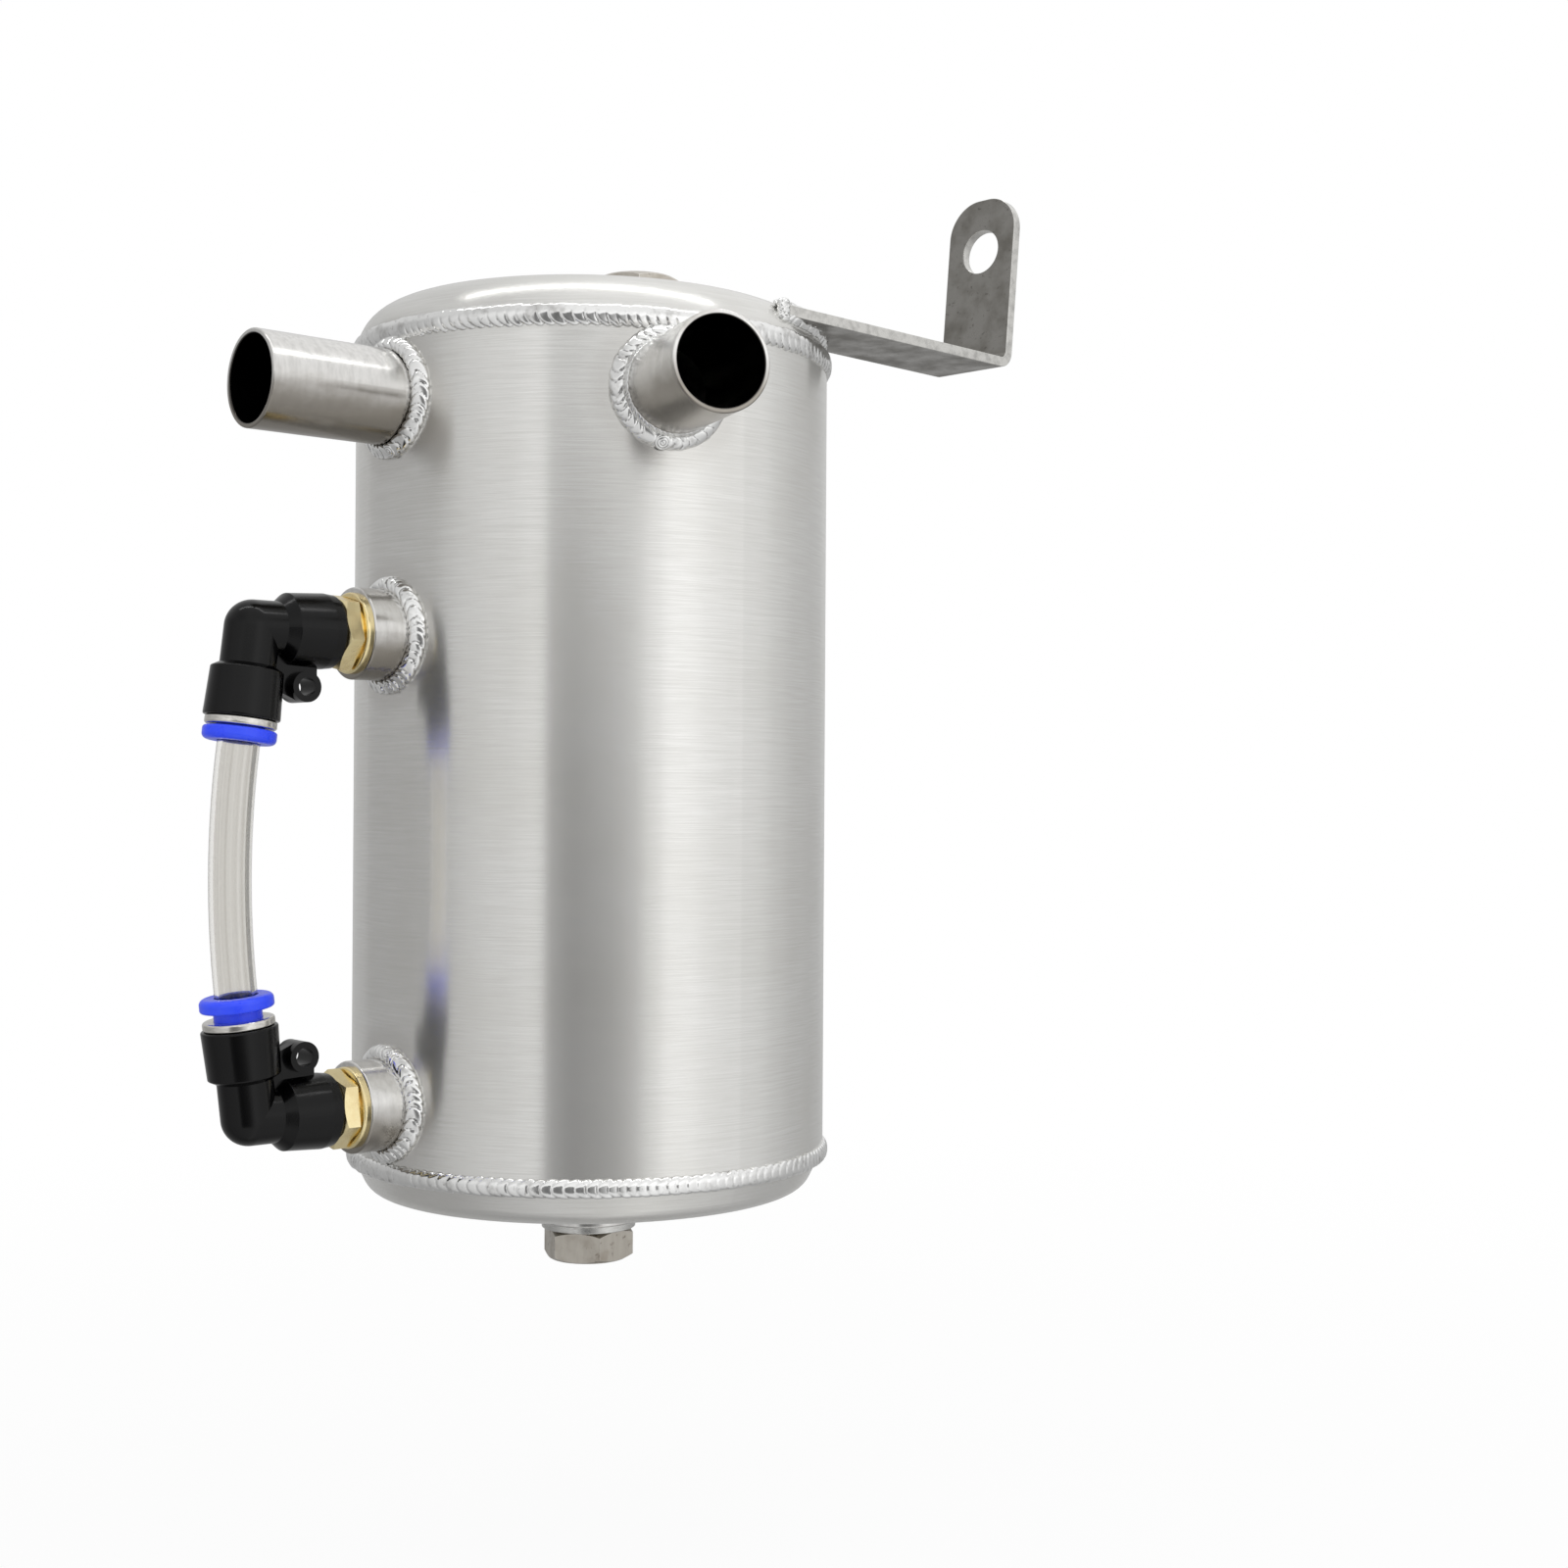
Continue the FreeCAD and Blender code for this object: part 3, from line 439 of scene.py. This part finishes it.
def machined_brass(name):
    finish = Finish(name, (1.0, 0.86, 0.50), 1.0, 0.2)
    scratches = finish.grain(800, 3, (0.3, 1, 1))
    dull = finish.grain(150, 3)
    finish.tint(finish.spread(scratches, 0.4, 0.7), (0.95, 0.79, 0.44))
    finish.tint(finish.spread(dull, 0.55, 0.75, 0, 0.5), (0.78, 0.60, 0.31))
    finish.rough(dull, 0.16, 0.3)
    finish.relief(scratches, 0.00002, 0.4)
    return finish.material


def black_moulding(name):
    finish = Finish(name, (0.0008, 0.0008, 0.001), 0.0, 0.2, {"Specular IOR Level": 0.27})
    spark = finish.grain(2600, 2)
    cloud = finish.grain(110, 3)
    finish.tint(finish.spread(cloud, 0.45, 0.75), (0.0015, 0.0015, 0.0018))
    finish.rough(cloud, 0.13, 0.22)
    finish.relief(spark, 0.00003, 0.3)
    return finish.material


def blue_moulding(name):
    finish = Finish(name, (0.018, 0.062, 1.0), 0.0, 0.3)
    cloud = finish.grain(200, 3)
    spark = finish.grain(2200, 2)
    finish.tint(finish.spread(cloud, 0.4, 0.7), (0.03, 0.082, 1.0))
    finish.rough(cloud, 0.24, 0.36)
    finish.relief(spark, 0.00002, 0.3)
    return finish.material


def nickel_ring(name):
    finish = Finish(name, (0.80, 0.78, 0.74), 1.0, 0.18)
    lines = finish.grain(900, 3, (1, 1, 3))
    finish.tint(finish.spread(lines, 0.4, 0.7), (0.66, 0.64, 0.60))
    finish.rough(lines, 0.12, 0.24)
    finish.relief(lines, 0.00002, 0.4)
    return finish.material


def claw_steel(name):
    finish = Finish(name, (0.55, 0.55, 0.55), 1.0, 0.3)
    lines = finish.grain(900, 2)
    finish.tint(finish.spread(lines, 0.4, 0.7), (0.45, 0.45, 0.45))
    finish.rough(lines, 0.24, 0.4)
    return finish.material


def ring_rubber(name):
    finish = Finish(name, (0.014, 0.014, 0.014), 0.0, 0.55)
    dust = finish.grain(600, 3)
    finish.tint(finish.spread(dust, 0.5, 0.8), (0.03, 0.03, 0.03))
    finish.rough(dust, 0.5, 0.65)
    finish.relief(dust, 0.00003, 0.4)
    return finish.material


def clear_plastic(name):
    # Drawn plastic, with faint streaks that follow the sight tube's bow.
    finish = Finish(name, (0.81, 0.80, 0.775), 0.0, 0.05,
                    {"IOR": 1.45, "Transmission Weight": 1.0})
    at = finish.place(centre=CAN_FRAME @ Vector(BOW_CENTRE))
    split = finish.node("ShaderNodeSeparateXYZ", {0: at})
    flat = finish.node("ShaderNodeVectorMath", {0: at}, {1: (0, 1, 1)}, operation="MULTIPLY")
    reach = finish.node("ShaderNodeVectorMath", {0: flat.outputs[0]}, operation="LENGTH")
    across = finish.node("ShaderNodeCombineXYZ", {0: split.outputs["X"], 1: reach.outputs["Value"]})
    streaks = finish.node("ShaderNodeTexNoise", {"Vector": across.outputs[0]},
                          {"Scale": 420.0, "Detail": 2.0, "Roughness": 0.6}).outputs[0]
    ripple = finish.grain(60, 2, (1, 1, 0.3))
    finish.tint(finish.spread(streaks, 0.5, 0.62, 0, 0.8), (0.56, 0.54, 0.51))
    finish.rough(ripple, 0.03, 0.07)
    finish.relief(ripple, 0.0002, 0.15)
    return finish.material


def plug_steel(name):
    finish = Finish(name, (0.58, 0.545, 0.485), 1.0, 0.36)
    darker_patches = finish.grain(230, 5)
    spots = finish.grain(700, 4)
    lines = finish.grain(800, 3, (1, 1, 0.25))
    finish.tint(finish.spread(lines, 0.4, 0.7), (0.52, 0.485, 0.43))
    finish.tint(finish.spread(darker_patches, 0.5, 0.66, 0, 0.7), (0.43, 0.38, 0.32))
    finish.tint(finish.spread(spots, 0.62, 0.7, 0, 0.8), (0.20, 0.16, 0.13))
    finish.rough(darker_patches, 0.28, 0.46)
    finish.relief(lines, 0.00003, 0.5)
    return finish.material


def strap_steel(name):
    finish = Finish(name, (0.33, 0.32, 0.30), 1.0, 0.34)
    mottle = finish.grain(190, 5)
    specks = finish.grain(900, 4)
    finish.tint(finish.spread(mottle, 0.42, 0.68), (0.22, 0.21, 0.19))
    finish.tint(finish.spread(specks, 0.62, 0.7, 0, 0.6), (0.12, 0.11, 0.10))
    finish.rough(mottle, 0.26, 0.44)
    finish.relief(mottle, 0.0001, 0.3)
    return finish.material


def highlit_edges(name, colour):
    # Edges painted bright: the highlights that catch on them.
    finish = Finish(name, colour, 1.0, 0.22)
    wear = finish.grain(500, 4)
    finish.tint(finish.spread(wear, 0.45, 0.7), tuple(0.7 * part for part in colour))
    finish.rough(wear, 0.16, 0.32)
    return finish.material


# Weld beads

# Mesh steps along a puddle, over the bead's crown and through its root
RIPPLE_STEPS = 10
CROWN_STEPS = 16
ROOT_STEPS = 5
# The share of a puddle in which it rises, and how much lower it ends
RIPPLE_FRONT = 0.25
RIPPLE_SAG = 0.45
# How far the welder's hand strays along the bead, in puddles, slowly and quickly
WANDER_SLOW = 0.25
WANDER_QUICK = 0.15
# How far the edges of a puddle run ahead of its middle, in puddles
PUDDLE_BOW = 0.75
# The puddles' mean width as a share of the bead's, and how much they differ in width and depth
MEAN_WIDTH = 0.97
WIDTH_SCATTER = 0.05
DEPTH_SCATTER = 0.5
# Where across the bead a fade begins, and how far on it is whole
FADE_FROM = -0.45
FADE_OVER = 0.6
# How far a bead's edge reaches into the tube or bush that it goes round
EDGE_OVERLAP = 0.1
# An end puddle: its rings, their depth and the darkness of the shade painted in them, and how high
# it sits on its bead
END_RINGS = 3
END_RING_DEPTH = 0.2
END_RING_DARK = 0.7
END_LIFT = 0.55
END_STEPS = 18
END_SIDES = 32
# The strap's root: heights of its two sides, near corner out and along, and far corner out
ROOT_TOP = 182.7
ROOT_UNDER = 180.5
ROOT_NEAR_OUT = 48.6
ROOT_NEAR_ALONG = 8.0
ROOT_FAR_OUT = 26.8
# The beads along it: off the shoulder, off the strap, their lean and half their width
ROOT_BEAD_OUT = 0.4
ROOT_BEAD_LIFT = 0.5
ROOT_BEAD_LEAN = 0.9
ROOT_BEAD_HALF = 1.7
# The bead down its end: out, along, from this height, for this length, and half its width
END_BEAD_OUT = 48.2
END_BEAD_ALONG = 8.6
END_BEAD_TOP = 184.0
END_BEAD_LENGTH = 5.0
END_BEAD_HALF = 1.6


def scatter(puddle, seed, channel):
    # A steady number between -1 and 1 for one puddle.
    return noise.cell(Vector((puddle * 1.37 + 0.5, seed, channel + 0.5)))


def ripple_at(along):
    # How high the frozen puddle stands here, how far its round edge draws in, and its number.
    puddle = math.floor(along)
    share = along - puddle
    rise = (math.sin(min(share / RIPPLE_FRONT, 1.0) * math.pi / 2)
            * (1 - RIPPLE_SAG * share ** 2))
    return rise, 1 - math.sqrt(1 - (2 * share - 1) ** 2), puddle


def section_angle(share):
    # Round the bead's section: over the crown, then back through its root.
    step = round(share * (CROWN_STEPS + ROOT_STEPS))
    if step <= CROWN_STEPS:
        return math.pi * step / CROWN_STEPS
    return math.pi * (1 + (step - CROWN_STEPS) / ROOT_STEPS)


def weld_bead(name, node, place_at, puddles, proud, sunk, seed, ripple=0.42, lobes=(0.22, 0.22),
              crease=1.0, fade=0.0, tapered=False):
    # place_at(share) gives the bead's middle, half its width as a vector towards one
    # edge, and its outward direction. The bead stands proud over its middle and is
    # sunk under it, and ripple is how deep its creases are. The lobes are how far each
    # edge draws in at a crease, crease is how dark the shade painted in the creases is,
    # and fade how much they die away towards the edge that the vector points to.
    bm = bmesh.new()
    crest = bm.verts.layers.float.new("crest")
    bmesh.ops.create_grid(bm, x_segments=puddles * RIPPLE_STEPS,
                          y_segments=CROWN_STEPS + ROOT_STEPS, size=0.5)
    for vert in bm.verts:
        share = vert.co.x + 0.5
        angle = section_angle(vert.co.y + 0.5)
        across = math.cos(angle)
        wander = (WANDER_SLOW * math.sin(10 * math.pi * share + seed)
                  + WANDER_QUICK * math.sin(26 * math.pi * share))
        rise, notch, puddle = ripple_at(share * puddles + wander - PUDDLE_BOW * across ** 2)
        puddle %= puddles
        kept = 1 - fade * min(max((across - FADE_FROM) / FADE_OVER, 0.0), 1.0)
        depth = ripple * kept * (1 + DEPTH_SCATTER * scatter(puddle, seed, 0))
        middle, half_width, outward = place_at(share)
        width = (MEAN_WIDTH + WIDTH_SCATTER * scatter(puddle, seed, 1)
                 - lobes[across > 0] * notch * abs(across))
        height = proud * (1 - depth * (1 - rise)) if math.sin(angle) > 0 else sunk
        if tapered:
            end = max(0.0, 1 - abs(2 * share - 1) ** 6) ** 0.5
            width *= end
            height *= end
        vert.co = middle + half_width * (across * width) + outward * (height * math.sin(angle))
        # Painted shade: the crest value falls in the creases.
        vert[crest] = 1 - crease * kept * (1 - rise)
    bmesh.ops.remove_doubles(bm, verts=bm.verts, dist=0.02)
    bmesh.ops.recalc_face_normals(bm, faces=bm.faces)
    for face in bm.faces:
        face.smooth = True
    new_piece(name, bm, "can", ["weld_bead"], node)


def new_piece(name, bm, body, slots, node=None):
    # Puts a piece drawn about the can's axis in the scene and lets it ride on a body.
    bmesh.ops.transform(bm, matrix=CAN_FRAME, verts=bm.verts)
    mesh = bpy.data.meshes.new(name)
    bm.to_mesh(mesh)
    bm.free()
    for slot in slots:
        mesh.materials.append(finishes[slot])
    piece = bpy.data.objects.new(name, mesh)
    scene.collection.objects.link(piece)
    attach(piece, body)
    if node:
        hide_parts(node)


def end_puddle(name, place_at, share, radius, proud):
    # The round puddle where a bead was finished, with rings round a small crater.
    middle, half_width, outward = place_at(share)
    side = half_width.normalized()
    bm = bmesh.new()
    crest = bm.verts.layers.float.new("crest")
    profile = []
    for step in range(END_STEPS + 1):
        reach = step / END_STEPS
        ring = 0.5 + 0.5 * math.cos(2 * math.pi * END_RINGS * reach)
        dome = proud * math.sqrt(max(0.0, 1 - reach ** 2)) * (1 - END_RING_DEPTH * ring)
        vert = bm.verts.new(middle + side * (radius * reach) + outward * (dome + END_LIFT))
        # Painted shade in the rings round the crater.
        vert[crest] = 1 - END_RING_DARK * ring
        profile.append(vert)
    edges = [bm.edges.new(pair) for pair in zip(profile, profile[1:])]
    bmesh.ops.spin(bm, geom=profile + edges, cent=middle, axis=outward, dvec=(0, 0, 0),
                   angle=2 * math.pi, steps=END_SIDES, use_merge=True)
    bmesh.ops.remove_doubles(bm, verts=bm.verts, dist=0.001)
    rim = [edge for edge in bm.edges if edge.is_boundary]
    bmesh.ops.holes_fill(bm, edges=rim, sides=0)
    bmesh.ops.recalc_face_normals(bm, faces=bm.faces)
    for face in bm.faces:
        face.smooth = len(face.verts) < 5
    new_piece(name, bm, "can", ["weld_bead"])


def seam_path(height, half_width):
    def place_at(share):
        angle = share * 2 * math.pi
        outward = Vector((math.cos(angle), math.sin(angle), 0))
        return outward * CAN_RADIUS + Vector((0, 0, height)), Vector((0, 0, half_width)), outward
    return place_at


def saddle_path(radius, height, turn=0.0, leg=2.0, foot=2.7):
    # Round a tube that leaves the can's wall, from its side to the wall.
    turned = Matrix.Rotation(turn, 3, "Z")

    def wall_point(reach, angle, lift):
        x = reach * math.sin(angle)
        y = -math.sqrt(CAN_RADIUS ** 2 - x ** 2) - lift
        return Vector((x, y, height + reach * math.cos(angle)))

    def place_at(share):
        angle = share * 2 * math.pi
        top = wall_point(radius - EDGE_OVERLAP, angle, leg)
        toe = wall_point(radius + foot, angle, 0)
        half = (toe - top) / 2
        away = Vector((math.sin(angle), -1, math.cos(angle)))
        outward = away - half * (away.dot(half) / half.length_squared)
        return turned @ ((top + toe) / 2), turned @ half, turned @ outward.normalized()
    return place_at


def bush_path(y, height, up, leg=1.8, foot=1.9):
    # Round a bush that stands on a flat cap; up is 1 on the lid and -1 under the base.
    def place_at(share):
        angle = share * 2 * math.pi
        away = Vector((math.cos(angle), math.sin(angle), 0))
        centre = Vector((0, y, height))
        top = centre + away * (PLUG_BUNG_RADIUS - EDGE_OVERLAP) + Vector((0, 0, up * leg))
        toe = centre + away * (PLUG_BUNG_RADIUS + foot)
        outward = (away * leg + Vector((0, 0, up * foot))).normalized()
        return (top + toe) / 2, (toe - top) / 2, outward
    return place_at


def root_path(height, lift):
    # Along the can's shoulder at the strap's root; lift is 1 over it and -1 under it.
    rise = height - UPPER_SEAM
    reach = CAN_RADIUS - LID_KNUCKLE + math.sqrt(LID_KNUCKLE ** 2 - rise ** 2)
    near = math.atan2(ROOT_NEAR_OUT, ROOT_NEAR_ALONG)
    far = math.asin(ROOT_FAR_OUT / reach)

    def place_at(share):
        angle = math.pi / 2 - (near + (far - near) * share) + STRAP_TURN
        away = Vector((math.cos(angle), math.sin(angle), 0))
        middle = away * (reach + ROOT_BEAD_OUT) + Vector((0, 0, height + lift * ROOT_BEAD_LIFT))
        outward = (away + Vector((0, 0, lift * ROOT_BEAD_LEAN))).normalized()
        across = Vector((0, 0, 1)).cross(outward).cross(outward).normalized()
        return middle, across * ROOT_BEAD_HALF, outward
    return place_at


def down_root_end(share):
    # Down the end of the strap's root, from the upper bead to the lower one.
    middle = (STRAP_OUT * END_BEAD_OUT + STRAP_ALONG * END_BEAD_ALONG
              + Vector((0, 0, END_BEAD_TOP - END_BEAD_LENGTH * share)))
    return middle, STRAP_ALONG * END_BEAD_HALF, STRAP_OUT


def weld_beads():
    inlet = saddle_path(SPIGOT_RADIUS, SPIGOT_HEIGHT)
    outlet = saddle_path(SPIGOT_RADIUS, SPIGOT_HEIGHT, OUTLET_TURN)
    outlet_top = saddle_path(SPIGOT_RADIUS, SPIGOT_HEIGHT, OUTLET_TURN, leg=3.5, foot=0.9)
    upper = saddle_path(BUNG_RADIUS, UPPER_BUNG_HEIGHT)
    lower = saddle_path(BUNG_RADIUS, LOWER_BUNG_HEIGHT)
    on_wall = {"puddles": 36, "proud": 0.95, "sunk": 0.8}
    on_cap = {"puddles": 42, "proud": 0.6, "sunk": 0.7}
    at_root = {"puddles": 13, "proud": 1.3, "sunk": 1.0, "tapered": True}
    weld_bead("top_seam_bead", "top_seam_weld", seam_path(UPPER_SEAM, 2.3), puddles=156,
              proud=1.07, sunk=0.5, seed=1, ripple=0.36, lobes=(0.34, 0.06), fade=0.85)
    weld_bead("bottom_seam_bead", "bottom_seam_weld", seam_path(LOWER_SEAM - 0.2, 1.95),
              puddles=152, proud=1.07, sunk=0.5, seed=2, ripple=0.2, lobes=(0.10, 0.22),
              crease=0.6)
    weld_bead("inlet_bead", "inlet_weld", inlet, seed=3, **on_wall)
    weld_bead("outlet_bead", "outlet_weld", outlet, seed=4, **on_wall)
    weld_bead("outlet_inner_bead", None, outlet_top, puddles=52, proud=0.4, sunk=0.3, seed=11,
              ripple=0.5)
    weld_bead("upper_bung_bead", "upper_bung_weld", upper, seed=5, **on_wall)
    weld_bead("lower_bung_bead", "lower_bung_weld", lower, seed=6, **on_wall)
    end_puddle("inlet_end_puddle", inlet, share=0.47, radius=1.5, proud=0.5)
    end_puddle("outlet_end_puddle", outlet, share=0.53, radius=1.7, proud=0.5)
    end_puddle("upper_bung_end_puddle", upper, share=0.46, radius=1.4, proud=0.5)
    end_puddle("lower_bung_end_puddle", lower, share=0.05, radius=1.4, proud=0.5)
    weld_bead("drain_bung_bead", "drain_bung_weld", bush_path(0, 0, up=-1), seed=7, **on_cap)
    weld_bead("top_bung_bead", "top_bung_weld", bush_path(TOP_PLUG_OFFSET, CAN_HEIGHT, up=1),
              seed=8, **on_cap)
    weld_bead("root_bead_over", "bracket_weld", root_path(ROOT_TOP, lift=1), seed=9, **at_root)
    weld_bead("root_bead_under", None, root_path(ROOT_UNDER, lift=-1), seed=10, **at_root)
    weld_bead("root_bead_end", None, down_root_end, puddles=3, proud=1.2, sunk=1.2, seed=12,
              tapered=True)


# Pieces with their edges taken off, and threads

# Corners sharper than this are rounded, and edges flatter than this are shaded smooth
SHARP_CORNER = math.radians(28)
SMOOTH_EDGE = math.radians(14)
STRAP_ROUNDING = 0.22
HEXAGON_ROUNDING = 0.12
PLUG_ROUNDING = 0.2
# A stud's hexagon is outside this radius and at a lower Y than this
HEXAGON_INSIDE = 6.6
HEXAGON_START = -59.0
# Each plug's place along Y, and the heights of its head's seat and of its tip
PLUG_PLACES = {"drain": (0.0, -8.9, 2.6), "top": (TOP_PLUG_OFFSET, 189.2, 177.7)}
PLUG_NECK = 0.7
# The thread's core, and its ridge in section as radius and rise
THREAD_CORE = 6.1
THREAD_RIDGE = ((5.9, 0.0), (6.95, 0.62), (6.95, 0.80), (5.9, 1.42))
THREAD_PITCH = 1.5
# Where the thread begins over the shank's lower end, and how much of the shank no turn takes up
THREAD_START = 0.3
THREAD_FREE = 1.9
THREAD_STEPS = 40


def merged_copy(node):
    # The node's own form in the drawing's millimetres, with flat areas made whole.
    bm = bmesh.new()
    bm.from_mesh(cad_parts[node].data)
    bmesh.ops.transform(bm, matrix=CAN_FRAME.inverted(), verts=bm.verts)
    bmesh.ops.remove_doubles(bm, verts=bm.verts, dist=0.001)
    bmesh.ops.dissolve_limit(bm, angle_limit=math.radians(1), use_dissolve_boundaries=False,
                             verts=bm.verts, edges=bm.edges)
    return bm


def take_off_edges(bm, offset, where):
    # Rounds the sharp edges that the test picks, and gives them the second finish, the bright one
    # that paints their highlights.
    edges = [edge for edge in bm.edges if edge.is_manifold
             and edge.calc_face_angle() > SHARP_CORNER and where(edge)]
    taken = bmesh.ops.bevel(bm, geom=edges, offset=offset, offset_type="OFFSET", affect="EDGES",
                            segments=2, profile=0.5, material=-1, clamp_overlap=True)
    for face in taken["faces"]:
        face.material_index = 1
    for face in bm.faces:
        face.smooth = True
    for edge in bm.edges:
        edge.smooth = edge.is_manifold and edge.calc_face_angle() < SMOOTH_EDGE


def highlit_strap():
    # The strap's cut sides and all its corners take the bright edge finish: the cut sides' own
    # lighter tone, and painted highlights on the corners.
    bm = merged_copy("bracket")
    bm.normal_update()
    for face in bm.faces:
        on_side = abs(face.normal.dot(STRAP_OUT)) > 0.25
        round_tab = (face.calc_center_median().z > TAB_HOLE_HEIGHT
                     and abs(face.normal.dot(STRAP_ALONG)) < 0.4)
        if on_side or round_tab:
            face.material_index = 1
    take_off_edges(bm, STRAP_ROUNDING, lambda edge: True)
    new_piece("highlit_bracket", bm, "can", ["bracket_steel", "strap_edge"], "bracket")


def sharp_stud(side, height):
    # The stud with painted highlights on its hexagon's corners.
    def on_hexagon(edge):
        middle = (edge.verts[0].co + edge.verts[1].co) / 2
        return (math.hypot(middle.x, middle.z - height) > HEXAGON_INSIDE
                and middle.y < HEXAGON_START)

    bm = merged_copy(side + "_stud")
    take_off_edges(bm, HEXAGON_ROUNDING, on_hexagon)
    new_piece(side + "_stud_hexagon", bm, "can", ["brass", "brass_edge"], side + "_stud")


def threaded_plug(side):
    # The plug with a cut thread on its shank and painted highlights on its corners.
    y, seat, tip = PLUG_PLACES[side]
    head = -1 if seat < tip else 1
    neck = seat - head * PLUG_NECK
    shank = abs(tip - neck)

    def on_head(edge):
        return all(head * (vert.co.z - seat) > 0.05 for vert in edge.verts)

    bm = merged_copy(side + "_plug")
    bmesh.ops.bisect_plane(bm, geom=bm.verts[:] + bm.edges[:] + bm.faces[:], dist=0.001,
                           plane_co=(0, y, neck), plane_no=(0, 0, head), clear_inner=True)
    bmesh.ops.holes_fill(bm, edges=[edge for edge in bm.edges if edge.is_boundary], sides=0)
    take_off_edges(bm, PLUG_ROUNDING, on_head)
    core = bmesh.ops.create_cone(bm, cap_ends=True, segments=48, radius1=THREAD_CORE,
                                 radius2=THREAD_CORE, depth=shank - 0.1)["verts"]
    bmesh.ops.translate(bm, verts=core, vec=(0, y, (tip + neck) / 2))
    low = min(neck, tip) + THREAD_START
    turns = int((shank - THREAD_FREE) / THREAD_PITCH)
    corners = [bm.verts.new((reach, y, low + rise)) for reach, rise in THREAD_RIDGE]
    ridge = bm.faces.new(corners)
    bmesh.ops.spin(bm, geom=corners + list(ridge.edges) + [ridge], cent=(0, y, 0), axis=(0, 0, 1),
                   dvec=(0, 0, THREAD_PITCH / THREAD_STEPS), angle=2 * math.pi * turns,
                   steps=THREAD_STEPS * turns)
    bmesh.ops.recalc_face_normals(bm, faces=bm.faces)
    new_piece(side + "_plug_threaded", bm, side + "_screw", ["plug_steel", "plug_edge"],
              side + "_plug")


# Which finish each carried-over node gets

def sight_finishes(side):
    return {side + "_bung": side + "_bung_metal", side + "_stud": "brass",
            side + "_stud_ring": "black_rubber", side + "_elbow": "black_plastic",
            side + "_tube_seal": "black_rubber", side + "_grip_claw": "spring_steel",
            side + "_cap_ring": "nickel_plate", side + "_release_collar": "blue_plastic",
            side + "_bung_weld": "weld_bead"}


NODE_FINISH = {
    "body_tube": "brushed_aluminium", "top_cap": "brushed_aluminium",
    "bottom_cap": "brushed_aluminium", "top_seam_weld": "weld_bead",
    "bottom_seam_weld": "weld_bead", "inlet_weld": "weld_bead", "outlet_weld": "weld_bead",
    "inlet_spigot": "spigot_metal", "outlet_spigot": "spigot_metal",
    "sight_tube": "clear_tube", "drain_bung": "turned_aluminium", "drain_bung_weld": "weld_bead",
    "drain_washer": "soft_aluminium", "drain_plug": "plug_steel",
    "top_bung": "turned_aluminium", "top_bung_weld": "weld_bead",
    "top_washer": "soft_aluminium", "top_plug": "plug_steel",
    "bracket": "bracket_steel", "bracket_weld": "weld_bead",
    **sight_finishes("upper"), **sight_finishes("lower")}

finishes = {
    "brushed_aluminium": brushed_can("brushed_aluminium"),
    "turned_aluminium": turned_metal("turned_aluminium"),
    "spigot_metal": shaded_turned_metal("spigot_metal", SPIGOT_HEIGHT, shaded_bores=True),
    "upper_bung_metal": shaded_turned_metal("upper_bung_metal", UPPER_BUNG_HEIGHT),
    "lower_bung_metal": shaded_turned_metal("lower_bung_metal", LOWER_BUNG_HEIGHT),
    "weld_bead": weld_metal("weld_bead"),
    "soft_aluminium": soft_washer("soft_aluminium"),
    "brass": machined_brass("brass"),
    "black_plastic": black_moulding("black_plastic"),
    "blue_plastic": blue_moulding("blue_plastic"),
    "nickel_plate": nickel_ring("nickel_plate"),
    "spring_steel": claw_steel("spring_steel"),
    "black_rubber": ring_rubber("black_rubber"),
    "clear_tube": clear_plastic("clear_tube"),
    "plug_steel": plug_steel("plug_steel"),
    "bracket_steel": strap_steel("bracket_steel"),
    # Bright finishes for the rounded corners, which paint their highlights.
    "strap_edge": highlit_edges("strap_edge", (0.72, 0.71, 0.68)),
    "plug_edge": highlit_edges("plug_edge", (0.78, 0.75, 0.70)),
    "brass_edge": highlit_edges("brass_edge", (1.0, 0.90, 0.62))}


def finish_nodes():
    for name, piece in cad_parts.items():
        piece.data.materials.clear()
        piece.data.materials.append(finishes[NODE_FINISH[name]])


camera()
studio()
pale_floor()
strip_light("ceiling_strip", VIEW_AZIMUTH, forward=0.1, height=1.0, length=1.7, width=0.08,
            power=2.0)
finish_nodes()
weld_beads()
highlit_strap()
sharp_stud("upper", UPPER_BUNG_HEIGHT)
sharp_stud("lower", LOWER_BUNG_HEIGHT)
threaded_plug("drain")
threaded_plug("top")
scene.view_settings.view_transform = "Standard"
